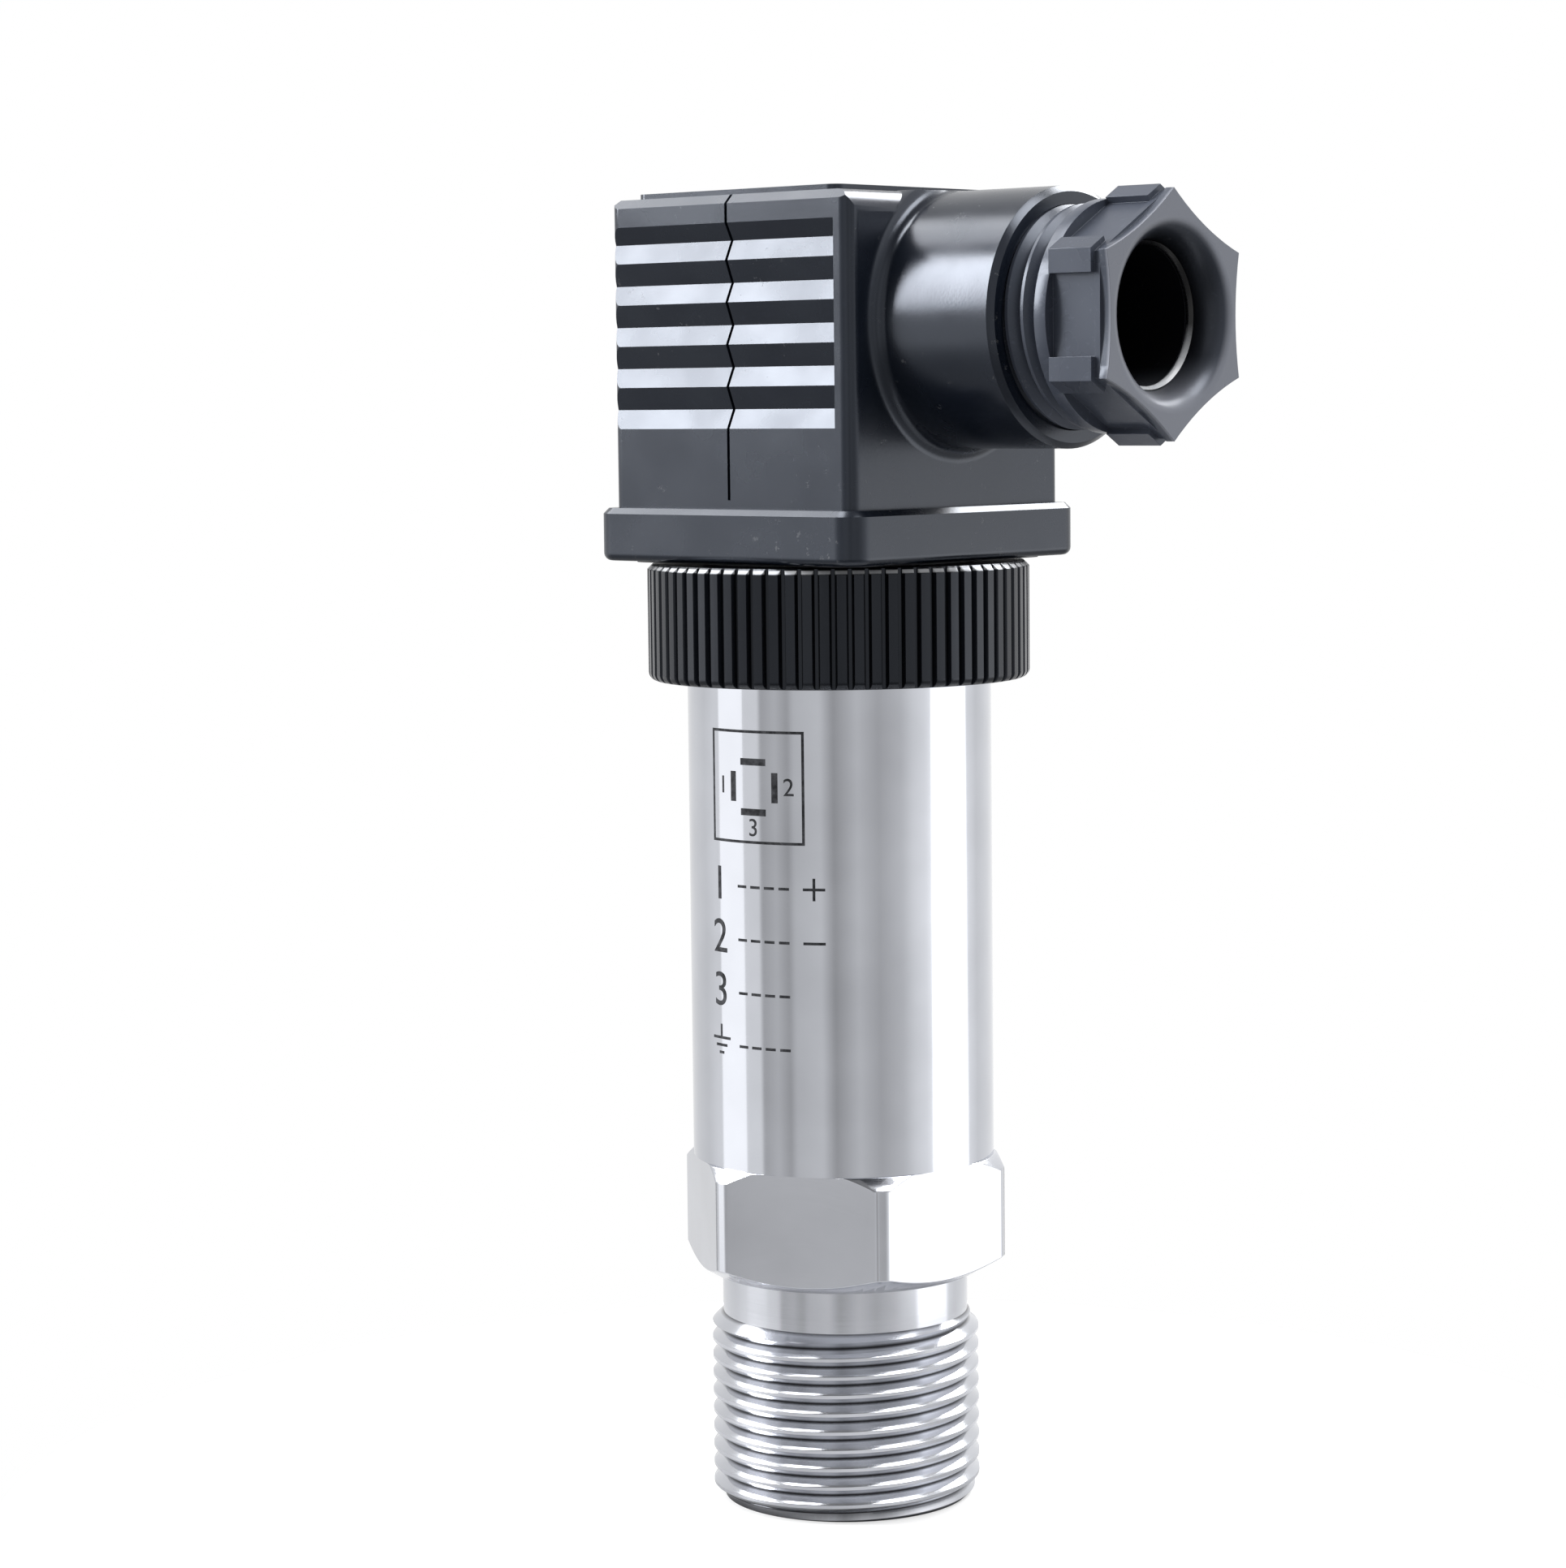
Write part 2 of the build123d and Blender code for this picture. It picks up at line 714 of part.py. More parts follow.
# Plug housing: a hollow moulding with grip ribs on two sides, a skirt below and a round outlet
half_body = body_side / 2
half_cavity = cavity_side / 2
outlet_line = Axis((0, 0, outlet_axis), (1, 0, 0))
rib_start = body_top - first_rib_drop
rib_end = rib_start - rib_span
rib_run = body_side - rib_stop + rib_overrun
with BuildPart() as socket_housing:
    with BuildSketch(Plane.XY.offset(skirt_bottom)):
        RectangleRounded(body_side, body_side, body_corner)
    extrude(amount=body_top - skirt_bottom)
    # Seen from the side: a rounded front edge over the outlet and a bevelled back edge
    with BuildSketch(Plane.XZ.offset(-half_body)):
        with BuildLine():
            Polyline(
                (half_body - body_front_round, body_top),
                (-half_body + body_top_bevel, body_top),
                (-half_body, body_top - body_top_bevel),
                (-half_body, skirt_bottom),
                (half_body, skirt_bottom),
                (half_body, body_top - body_front_round),
            )
            RadiusArc(
                (half_body - body_front_round, body_top),
                (half_body, body_top - body_front_round),
                body_front_round,
            )
        make_face()
    extrude(amount=body_side, mode=Mode.INTERSECT)
    # Seen from the end: bevelled top edges and the stepped grip ribs
    with BuildSketch(Plane.YZ.offset(-half_body)):
        with BuildLine():
            Polyline(
                (-half_body, skirt_bottom),
                (half_body, skirt_bottom),
                (half_body, body_top - body_top_bevel),
                (half_body - body_top_bevel, body_top),
                (-half_body + body_top_bevel, body_top),
                (-half_body, body_top - body_top_bevel),
                close=True,
            )
        make_face()
    extrude(amount=body_side, mode=Mode.INTERSECT)
    for side in (-1, 1):
        with BuildSketch(Plane.YZ.offset(-half_body - rib_overrun)):
            outer = side * (half_body + rib_overrun)
            zigzag = [(outer, rib_start), (side * half_body, rib_start)]
            for i in reversed(range(rib_count)):
                ridge = rib_end + i * rib_pitch
                zigzag.append((side * (half_body - rib_depth), ridge + rib_rise_share * rib_pitch))
                zigzag.append((side * half_body, ridge))
            zigzag.append((outer, rib_end))
            with BuildLine():
                Polyline(*zigzag, close=True)
            make_face()
        extrude(amount=rib_run, mode=Mode.SUBTRACT)
    # A narrow seam runs down the middle of each ribbed side
    with BuildSketch(Plane.XY.offset(skirt_top + body_top_bevel)):
        for side in (-1, 1):
            with Locations((0, side * half_body)):
                Rectangle(seam_width, 2 * (rib_depth + seam_depth))
    extrude(amount=body_height, mode=Mode.SUBTRACT)
    with BuildSketch(Plane.XY.offset(body_top)):
        with Locations((-(body_front_round - body_top_bevel) / 2, 0)):
            RectangleRounded(
                body_side - 2 * panel_inset - (body_front_round - body_top_bevel),
                body_side - 2 * panel_inset,
                body_corner,
            )
    extrude(amount=panel_rise)
    # Skirt around the foot of the housing
    with BuildSketch(Plane.XY.offset(skirt_bottom)):
        RectangleRounded(skirt_side, skirt_side, skirt_corner)
    extrude(amount=skirt_height)
    skirt_foot = socket_housing.faces().sort_by(Axis.Z)[0].edges()
    fillet(skirt_foot, skirt_bottom_round)
    level_faces = socket_housing.faces().filter_by(Plane.XY)
    skirt_ledge = level_faces.filter_by_position(Axis.Z, skirt_top - slip, skirt_top + slip)[0]
    chamfer(skirt_ledge.outer_wire().edges(), skirt_top_bevel)
    # Round outlet with a flared root, trimmed level with its own top
    with BuildSketch(Plane.XZ):
        with BuildLine():
            Polyline(
                (half_body, outlet_axis + outlet_radius + outlet_root_round),
                (half_body - body_front_round, outlet_axis + outlet_radius + outlet_root_round),
                (half_body - body_front_round, outlet_axis),
                (outlet_end, outlet_axis),
                (outlet_end, outlet_axis + outlet_radius - outlet_rim_bevel),
                (outlet_end - outlet_rim_bevel, outlet_axis + outlet_radius),
                (half_body + outlet_root_round, outlet_axis + outlet_radius),
            )
            RadiusArc(
                (half_body, outlet_axis + outlet_radius + outlet_root_round),
                (half_body + outlet_root_round, outlet_axis + outlet_radius),
                -outlet_root_round,
            )
        make_face()
    revolve(axis=outlet_line)
    with BuildSketch(Plane.XY.offset(outlet_axis + outlet_radius)):
        with Locations((half_body, 0)):
            Rectangle(2 * (body_front_round + slip), body_side)
    extrude(amount=2 * outlet_root_round, mode=Mode.SUBTRACT)
    # Hollow inside: the mat's recess, the cavity, and the outlet's two bores
    with BuildSketch(Plane.XY.offset(skirt_bottom)):
        RectangleRounded(gasket_side + 2 * slip, gasket_side + 2 * slip, skirt_corner)
    extrude(amount=gasket_top - skirt_bottom, mode=Mode.SUBTRACT)
    with BuildSketch(Plane.XY.offset(gasket_top)):
        RectangleRounded(cavity_side, cavity_side, insert_corner)
    extrude(amount=roof_bottom - gasket_top, mode=Mode.SUBTRACT)
    with BuildSketch(Plane.XZ):
        with BuildLine():
            Polyline(
                (half_cavity - slip, outlet_axis),
                (half_cavity - slip, outlet_axis + gland_bore_radius),
                (grommet_seat, outlet_axis + gland_bore_radius),
                (grommet_seat, outlet_axis + outlet_bore_radius),
                (outlet_end, outlet_axis + outlet_bore_radius),
                (outlet_end, outlet_axis),
                close=True,
            )
        make_face()
    revolve(axis=outlet_line, mode=Mode.SUBTRACT)
    # Posts that hold the terminal carrier down, and the pillar that guides the fixing screw
    with BuildSketch(Plane.XY.offset(insert_top)):
        with GridLocations(cavity_side - post_side, cavity_side - post_side, 2, 2):
            Rectangle(post_side, post_side)
    extrude(amount=roof_bottom - insert_top)
    with BuildSketch(Plane.XY.offset(roof_bottom - pillar_length)):
        Circle(pillar_radius)
    extrude(amount=pillar_length)
    with BuildSketch(Plane.XY.offset(roof_bottom - pillar_length)):
        Circle(screw_diameter / 2 + turning)
    extrude(amount=panel_top - roof_bottom + pillar_length, mode=Mode.SUBTRACT)
    with BuildSketch(Plane.XY.offset(well_floor)):
        Circle(well_radius)
    extrude(amount=screw_well_depth, mode=Mode.SUBTRACT)
socket_housing.part.label = "socket_housing"
export_step(socket_housing.part, "parts/socket_housing.step")

# Sealing mat: square, pressed between the header's face and the terminal carrier
with BuildPart() as flat_gasket:
    with BuildSketch(Plane.XY.offset(header_top)):
        RectangleRounded(gasket_side, gasket_side, skirt_corner)
        Circle(screw_diameter / 2 + 2 * turning, mode=Mode.SUBTRACT)
        with PolarLocations(blade_offset, blade_count):
            Rectangle(*blade_slot, mode=Mode.SUBTRACT)
    extrude(amount=gasket_thickness)
flat_gasket.part.label = "flat_gasket"
export_step(flat_gasket.part, "parts/flat_gasket.step")

# Terminal carrier: a block with four pockets, open on top, and blade slots through its floor
with BuildPart() as terminal_insert:
    with BuildSketch(Plane.XY.offset(gasket_top)):
        RectangleRounded(insert_side, insert_side, insert_corner)
        Circle(screw_diameter / 2 + turning, mode=Mode.SUBTRACT)
    extrude(amount=insert_top - gasket_top)
    with BuildSketch(Plane.XY.offset(sleeve_bottom)):
        with PolarLocations(blade_offset, blade_count):
            Rectangle(sleeve_thick + 2 * slip, sleeve_wide + 2 * slip)
    extrude(amount=insert_top - sleeve_bottom, mode=Mode.SUBTRACT)
    with BuildSketch(Plane.XY.offset(block_bottom)):
        with PolarLocations(block_middle, blade_count):
            Rectangle(terminal_block_length + 2 * slip, terminal_block_width + 2 * slip)
    extrude(amount=insert_top - block_bottom, mode=Mode.SUBTRACT)
    with BuildSketch(Plane.XY.offset(gasket_top)):
        with PolarLocations(blade_offset, blade_count):
            Rectangle(*blade_slot)
    extrude(amount=insert_floor, mode=Mode.SUBTRACT)
terminal_insert.part.label = "terminal_insert"
export_step(terminal_insert.part, "parts/terminal_insert.step")

# Terminals: a spring sleeve around each blade, with a screw block on its inner side
with BuildPart() as contact_sleeves:
    with BuildSketch(Plane.XY.offset(sleeve_bottom)):
        with PolarLocations(blade_offset, blade_count):
            Rectangle(sleeve_thick, sleeve_wide)
    extrude(amount=sleeve_top - sleeve_bottom)
    with BuildSketch(Plane.XY.offset(block_bottom)):
        with PolarLocations(block_middle, blade_count):
            Rectangle(terminal_block_length, terminal_block_width)
    extrude(amount=terminal_block_height)
    with BuildSketch(Plane.XY.offset(sleeve_bottom)):
        with PolarLocations(blade_offset, blade_count):
            Rectangle(blade_thickness + 2 * running, blade_width + 2 * running)
    extrude(amount=sleeve_top - sleeve_bottom, mode=Mode.SUBTRACT)
    with BuildSketch(Plane.XY.offset(block_top - terminal_screw_length)):
        with PolarLocations(block_middle, blade_count):
            Circle(terminal_screw_diameter / 2 + slip)
    extrude(amount=terminal_screw_length, mode=Mode.SUBTRACT)
contact_sleeves.part.label = "contact_sleeves"
export_step(contact_sleeves.part, "parts/contact_sleeves.step")

with BuildPart() as terminal_screws:
    with BuildSketch(Plane.XY.offset(block_top - terminal_screw_length)):
        with PolarLocations(block_middle, blade_count):
            Circle(terminal_screw_diameter / 2)
    extrude(amount=terminal_screw_length)
    with BuildSketch(Plane.XY.offset(block_top)):
        with PolarLocations(block_middle, blade_count):
            Circle(terminal_screw_diameter / 2 + terminal_screw_head_rim)
    extrude(amount=terminal_screw_head_height)
    with BuildSketch(Plane.XY.offset(block_top + terminal_screw_head_height)):
        with PolarLocations(block_middle, blade_count):
            Rectangle(2 * terminal_screw_diameter, terminal_slot_width)
    extrude(amount=-terminal_slot_depth, mode=Mode.SUBTRACT)
terminal_screws.part.label = "terminal_screws"
export_step(terminal_screws.part, "parts/terminal_screws.step")

# Fixing screw: runs from the housing's top down into the header's nut
head_bottom = well_floor + screw_washer_thickness
screw_end = header_top - screw_engagement
with BuildPart() as fixing_screw:
    with BuildSketch(Plane.XY.offset(screw_end)):
        Circle(screw_diameter / 2)
    extrude(amount=head_bottom - screw_end)
    with BuildSketch(Plane.XY.offset(head_bottom)):
        Circle(screw_head_diameter / 2)
    extrude(amount=screw_head_height)
    with BuildSketch(Plane.XY.offset(head_bottom + screw_head_height)):
        Rectangle(2 * screw_head_diameter, screw_slot_width)
    extrude(amount=-screw_slot_depth, mode=Mode.SUBTRACT)
fixing_screw.part.label = "fixing_screw"
export_step(fixing_screw.part, "parts/fixing_screw.step")

with BuildPart() as screw_seal:
    with BuildSketch(Plane.XY.offset(well_floor)):
        Circle(screw_head_diameter / 2)
        Circle(screw_diameter / 2 + slip, mode=Mode.SUBTRACT)
    extrude(amount=screw_washer_thickness)
screw_seal.part.label = "screw_seal"
export_step(screw_seal.part, "parts/screw_seal.step")

# Gland screw: a hollow threaded shank, a collar, and a hexagon with raised corners and a flange
with BuildPart() as gland_screw:
    with BuildSketch(Plane.YZ.offset(gland_end)):
        with Locations((0, outlet_axis)):
            Circle(gland_radius)
    extrude(amount=gland_thread_length)
    chamfer(gland_screw.faces().sort_by(Axis.X)[0].edges(), gland_end_bevel)
    with BuildSketch(Plane.YZ.offset(collar_start)):
        with Locations((0, outlet_axis)):
            Circle(gland_radius + gland_collar_step)
    extrude(amount=gland_collar_length)
    with BuildSketch(Plane.YZ.offset(head_start)):
        with Locations((0, outlet_axis)):
            RegularPolygon(gland_head_flats / 2, 6, major_radius=False, rotation=hexagon_step / 2)
            with PolarLocations(gland_head_flats / 2, 6):
                Rectangle(2 * gland_flat_depth, gland_flat_width, mode=Mode.SUBTRACT)
    extrude(amount=gland_head_length)
    with BuildSketch(Plane.YZ.offset(neck_start)):
        with Locations((0, outlet_axis)):
            RegularPolygon(gland_neck_flats / 2, 6, major_radius=False, rotation=hexagon_step / 2)
    extrude(amount=gland_neck_length)
    with BuildSketch(Plane.YZ.offset(flange_start)):
        corner = gland_flange_radius
        dip = corner * cos(radians(hexagon_step / 2)) - gland_flange_hollow
        with BuildLine():
            for i in range(6):
                turns = [radians(quarter_turn + hexagon_step * (i + part)) for part in (0, 0.5, 1)]
                reaches = (corner, dip, corner)
                ThreePointArc(
                    *((r * cos(turn), outlet_axis + r * sin(turn)) for r, turn in zip(reaches, turns))
                )
        make_face()
    extrude(amount=gland_flange_length)
    with BuildSketch(Plane.XZ):
        with BuildLine():
            mouth_start = gland_face - gland_mouth_depth
            step_radius = gland_bore_radius + gland_mouth_step
            Polyline(
                (gland_face, outlet_axis + gland_mouth_radius),
                (gland_face, outlet_axis),
                (gland_end, outlet_axis),
                (gland_end, outlet_axis + gland_bore_radius),
                (mouth_start, outlet_axis + gland_bore_radius),
                (mouth_start, outlet_axis + step_radius),
            )
            EllipticalCenterArc(
                (mouth_start, outlet_axis + gland_mouth_radius),
                gland_mouth_depth,
                gland_mouth_radius - step_radius,
                start_angle=-quarter_turn,
                arc_size=quarter_turn,
            )
        make_face()
    revolve(axis=outlet_line, mode=Mode.SUBTRACT)
gland_screw.part.label = "gland_screw"
export_step(gland_screw.part, "parts/gland_screw.step")

# Pressure washer: lies against the gland screw's end and pushes the grommet without turning it
with BuildPart() as gland_washer:
    with BuildSketch(Plane.YZ.offset(gland_end - slip - washer_thickness)):
        with Locations((0, outlet_axis)):
            Circle(gland_radius - turning)
            Circle(washer_bore_radius, mode=Mode.SUBTRACT)
    extrude(amount=washer_thickness)
gland_washer.part.label = "gland_washer"
export_step(gland_washer.part, "parts/gland_washer.step")

# Grommet: a rubber sleeve seated at the bottom of the outlet's bore
with BuildPart() as gland_grommet:
    with BuildSketch(Plane.YZ.offset(grommet_seat)):
        with Locations((0, outlet_axis)):
            Circle(gland_radius - slip)
            Circle(grommet_bore_radius, mode=Mode.SUBTRACT)
    extrude(amount=grommet_length)
    with BuildSketch(Plane.YZ.offset(grommet_seat + grommet_length - grommet_ring_depth)):
        with Locations((0, outlet_axis)):
            Circle(grommet_bore_radius + grommet_ring_inset + grommet_ring_width)
            Circle(grommet_bore_radius + grommet_ring_inset, mode=Mode.SUBTRACT)
    extrude(amount=grommet_ring_depth, mode=Mode.SUBTRACT)
gland_grommet.part.label = "gland_grommet"
export_step(gland_grommet.part, "parts/gland_grommet.step")
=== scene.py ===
# %% [markdown]
# # Pressure transmitter
#
# The object is a stainless screw-in fitting and tube with a black right-angle plug on top. Its CAD
# solids arrive as a fixed frame, already the right size and in the right place. This lesson dresses
# them for a studio photograph: real threads, rounded moulding edges, and a finish for each
# material.
#
# Everything is in metres, with +Z up the tube and +X out of the cable outlet.

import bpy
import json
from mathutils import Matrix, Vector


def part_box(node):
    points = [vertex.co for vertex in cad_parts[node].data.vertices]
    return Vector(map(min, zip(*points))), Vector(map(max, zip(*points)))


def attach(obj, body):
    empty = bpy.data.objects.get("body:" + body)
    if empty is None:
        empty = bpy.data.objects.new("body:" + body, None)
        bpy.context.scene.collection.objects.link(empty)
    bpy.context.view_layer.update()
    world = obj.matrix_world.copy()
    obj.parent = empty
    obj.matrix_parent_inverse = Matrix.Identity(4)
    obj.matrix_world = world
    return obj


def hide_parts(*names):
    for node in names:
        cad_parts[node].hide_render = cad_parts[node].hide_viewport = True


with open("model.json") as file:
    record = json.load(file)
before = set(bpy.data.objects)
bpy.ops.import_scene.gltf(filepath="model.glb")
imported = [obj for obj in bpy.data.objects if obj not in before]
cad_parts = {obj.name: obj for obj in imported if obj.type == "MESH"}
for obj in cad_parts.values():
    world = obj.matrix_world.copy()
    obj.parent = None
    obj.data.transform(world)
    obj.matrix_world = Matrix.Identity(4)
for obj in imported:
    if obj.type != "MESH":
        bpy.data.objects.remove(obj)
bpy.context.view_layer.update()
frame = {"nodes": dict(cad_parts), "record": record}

# %% Other modules
import json
import math

import bmesh
import bpy
from mathutils import Matrix, Vector

mm = 0.001


# %% [markdown]
# ## Where things are
#
# The frame knows every solid's box and its record knows every mount, so heights and radii are read
# from them and not typed again. If the CAD changes, the dressing follows.

# %% Heights and radii
def low(node):
    """Lowest corner of a CAD node."""
    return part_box(node)[0]


def high(node):
    """Highest corner of a CAD node."""
    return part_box(node)[1]


mounts = {mount["name"]: mount for mount in frame["record"]["mounts"]}
tube_radius = high("body_tube").x
ring_radius = high("knurled_ring").x
outlet_axis = (low("gland_grommet").z + high("gland_grommet").z) / 2
print("tube radius", round(tube_radius / mm, 2), "outlet at", round(outlet_axis / mm, 2))

# %% [markdown]
# The gland's bore is the mount for the cable. It runs along +X and ends where the funnel begins,
# and the funnel opens out to the gland's front face.

# %% Bore and funnel, in millimetres
cable_bore = mounts["cable_entry"]
bore_radius = cable_bore["dims"]["r_mm"]
bore_edge = cable_bore["pos_m"][0] / mm + cable_bore["dims"]["length_mm"] / 2
funnel_flare = 2.1
funnel_radius = bore_radius + funnel_flare
gland_face = high("gland_screw").x / mm
print("bore radius", bore_radius, "up to x", round(bore_edge, 2), "face at", round(gland_face, 2))

# %% [markdown]
# ## The camera
#
# The picture was taken from a little above, with a long lens, between the plug's ribbed side and
# its outlet. A camera is three axes and a place. Working them out from an azimuth, a pitch and a
# small roll keeps each number meaningful, where an Euler angle typed by hand would not.

# %% Camera
aim_height = 76.766 * mm
camera_azimuth = math.radians(42.39)
camera_pitch = math.radians(5.546)
camera_roll = math.radians(-0.645)
camera_distance = 325.68 * mm
camera_right_shift = -4.674 * mm
camera_rise = -17.834 * mm
camera_lens = 92.03

right = Vector((math.cos(camera_azimuth), math.sin(camera_azimuth), 0))
level_forward = Vector((-math.sin(camera_azimuth), math.cos(camera_azimuth), 0))
up = Vector((0, 0, 1))
forward = level_forward * math.cos(camera_pitch) - up * math.sin(camera_pitch)
camera_up = up * math.cos(camera_pitch) + level_forward * math.sin(camera_pitch)
place = up * aim_height - forward * camera_distance + right * camera_right_shift
place = place + camera_up * camera_rise
rolled_right = right * math.cos(camera_roll) + camera_up * math.sin(camera_roll)
rolled_up = camera_up * math.cos(camera_roll) - right * math.sin(camera_roll)

camera = bpy.data.objects.new("studio_camera", bpy.data.cameras.new("studio_camera"))
camera.data.lens = camera_lens
camera.data.clip_start = 10 * mm
camera.matrix_world = Matrix(
    [(rolled_right[i], rolled_up[i], -forward[i], place[i]) for i in range(3)] + [(0, 0, 0, 1)]
)
bpy.context.scene.collection.objects.link(camera)
bpy.context.scene.camera = camera
print("camera at", tuple(round(v, 3) for v in place))


# %% [markdown]
# ## A short way to write shader maths
#
# A material is a graph of nodes. Wiring each Math node by hand hides a simple formula behind
# twenty lines, so one small class stands for an output socket and turns `+`, `-`, `*` and `/` into
# Math nodes. A second class owns a node tree: its `node` method adds any other node, sets what the
# node is first, and then fills or links its sockets.

# %% Signal and Wiring
class Signal:
    """A number that varies over a surface: an output socket that understands arithmetic."""

    def __init__(self, wiring, socket):
        self.wiring = wiring
        self.socket = socket

    def __add__(self, other):
        return self.wiring.maths("ADD", self, other)

    def __sub__(self, other):
        return self.wiring.maths("SUBTRACT", self, other)

    def __rsub__(self, other):
        return self.wiring.maths("SUBTRACT", other, self)

    def __mul__(self, other):
        return self.wiring.maths("MULTIPLY", self, other)

    def __truediv__(self, other):
        return self.wiring.maths("DIVIDE", self, other)

    __radd__ = __add__
    __rmul__ = __mul__


class Wiring:
    """A node tree, with one method that adds a node to it."""

    def __init__(self, tree):
        self.tree = tree

    def feed(self, socket, value):
        if isinstance(value, Signal):
            self.tree.links.new(value.socket, socket)
        else:
            socket.default_value = value

    def node(self, kind, settings=None, sockets=None, output=0):
        """Add a node of this kind: its settings first, then its sockets' values or links.

        A tuple of outputs gives a list of signals, and one output gives its signal.
        """
        node = self.tree.nodes.new(kind)
        for setting, value in (settings or {}).items():
            if setting == "stops":
                self.set_stops(node.color_ramp, value)
            else:
                setattr(node, setting, value)
        for socket, value in (sockets or {}).items():
            self.feed(node.inputs[socket], value)
        if isinstance(output, tuple):
            return [Signal(self, node.outputs[one]) for one in output]
        return Signal(self, node.outputs[output]) if node.outputs else None

    def set_stops(self, ramp, stops):
        """Give a ramp its stops, each a place from 0 to 1 and a grey level."""
        while len(ramp.elements) < len(stops):
            ramp.elements.new(1)
        for element, (position, level) in zip(ramp.elements, stops):
            element.position = position
            element.color = (level, level, level, 1)

    def maths(self, operation, *values):
        return self.node("ShaderNodeMath", {"operation": operation}, dict(enumerate(values)))

    def distance(self, first, second):
        """Length of the slanted side over two lengths at right angles."""
        return self.maths("SQRT", first * first + second * second)

    def between(self, signal, start, end, least=0.0, most=1.0, easing="LINEAR"):
        """Read a signal's stretch from start to end as a number from least to most."""
        return self.node(
            "ShaderNodeMapRange",
            {"interpolation_type": easing},
            {"Value": signal, "From Min": start, "From Max": end, "To Min": least, "To Max": most},
        )


# %% [markdown]
# ## One class for a finish
#
# Each finish is a Principled shader. What is the same all over the surface is set on the shader's
# own sockets. What changes from place to place comes through nodes and feeds colour, roughness or
# a bump. The patterns read object coordinates, which are the real lengths of the part, so a grain
# of 0.2 mm is 0.2 mm on every piece, and it stays put when a joint moves.

# %% Finish
class Finish(Wiring):
    """A material: constants on its shader, and patterns measured in millimetres."""

    def __init__(self, name, **constants):
        self.material = bpy.data.materials.new(name)
        self.material.use_nodes = True
        super().__init__(self.material.node_tree)
        self.shader = self.tree.nodes["Principled BSDF"]
        for socket, value in constants.items():
            self.shader.inputs[socket.replace("_", " ")].default_value = value
        self.place = self.node("ShaderNodeTexCoord", output="Object")

    def parts(self):
        """The place on the surface as three signals in metres."""
        return self.node("ShaderNodeSeparateXYZ", {}, {0: self.place}, output=("X", "Y", "Z"))

    def noise(self, size, detail=2.0, roughness=0.5, where=None):
        """Cloudy noise whose spots are about this many millimetres wide."""
        if where is None:
            scale = (1 / (size * mm),) * 3
            sockets = {0: self.place, 1: scale}
            where = self.node("ShaderNodeVectorMath", {"operation": "MULTIPLY"}, sockets)
        return self.node(
            "ShaderNodeTexNoise",
            {},
            {"Vector": where, "Scale": 1.0, "Detail": detail, "Roughness": roughness},
        )

    def clouds(self, signal, least=0.0, most=1.0):
        """Read the middle of a noise, where most of it lies, as a number from least to most."""
        return self.between(signal, 0.3, 0.7, least, most)

    def blend(self, mask, first, second):
        """Colour that goes from first to second as the mask goes from 0 to 1."""
        sockets = {0: mask, 6: self.colour(first), 7: self.colour(second)}
        return self.node("ShaderNodeMix", {"data_type": "RGBA"}, sockets, output=2)

    def colour(self, value):
        return value if isinstance(value, Signal) else (*value, 1)

    def wear(self, **signals):
        """Feed varying signals to the shader's sockets."""
        for socket, signal in signals.items():
            self.feed(self.shader.inputs[socket.replace("_", " ")], signal)

    def relief(self, height, depth):
        """Raise the surface by a height signal, where 1 stands this many millimetres proud."""
        sockets = {"Height": height, "Distance": depth * mm, "Strength": 1.0}
        self.feed(self.shader.inputs["Normal"], self.node("ShaderNodeBump", {}, sockets))


def shade(tone, share, lift=0.0):
    """A colour times a share, plus a lift, and no part of it over 1."""
    return tuple(min(1, share * part + lift) for part in tone)


# %% [markdown]
# ## Turned stainless steel
#
# The tube and the fitting come off a lathe. The tool leaves rings round the axis, far finer than
# the eye resolves, that draw each highlight into a band up the part. A noise that is slow around
# the axis and very fast along it looks like those rings. On end faces the rings are circles, so
# the fast axis is height plus radius: on a cylinder only the height changes, on a flat face only
# the radius.

# %% Stainless finishes
# Lengths in millimetres: how far a lathe ring keeps its look round the axis, how wide the patches
# left by handling are, and how far above a thread's root the painted shade reaches
ring_drift = 14
handled_patch = 9
root_shade_band = 0.25


def turned_steel(name, tone, roughness, ring_pitch, ring_depth, root=0.0):
    """Stainless steel with lathe marks of this pitch and depth in millimetres.

    Where a thread has its root radius given, shade is painted into the groove just above it.
    """
    steel = Finish(name, Metallic=1.0)
    x, y, z = steel.parts()
    from_axis = steel.distance(x, y)
    along = (z + from_axis) / (ring_pitch * mm)
    around = 1 / (ring_drift * mm)
    rings_at = steel.node("ShaderNodeCombineXYZ", {}, {0: x * around, 1: y * around, 2: along})
    rings = steel.noise(1, detail=3, roughness=0.6, where=rings_at)
    handling = steel.noise(handled_patch, detail=3)
    skin = steel.blend(steel.clouds(handling), shade(tone, 0.93), shade(tone, 1.06))
    if root:
        # Painted shade: the colour is darkened in the groove just above the thread's root
        out_of_root_shade = steel.between(from_axis / mm, root, root + root_shade_band)
        skin = steel.blend(out_of_root_shade, shade(tone, 0.2), skin)
    shine = steel.clouds(rings * 0.6 + handling * 0.4, roughness - 0.04, roughness + 0.05)
    steel.wear(Base_Color=skin, Roughness=shine)
    steel.relief(rings, ring_depth)
    return steel.material


# Name, colour, roughness, then the rings' pitch and depth
tube_steel = turned_steel("tube_steel", (0.62, 0.637, 0.685), 0.075, 0.09, 0.0003)
fitting_steel = turned_steel("fitting_steel", (0.62, 0.635, 0.68), 0.14, 0.12, 0.0008)
print("steel finishes:", tube_steel.name, fitting_steel.name)


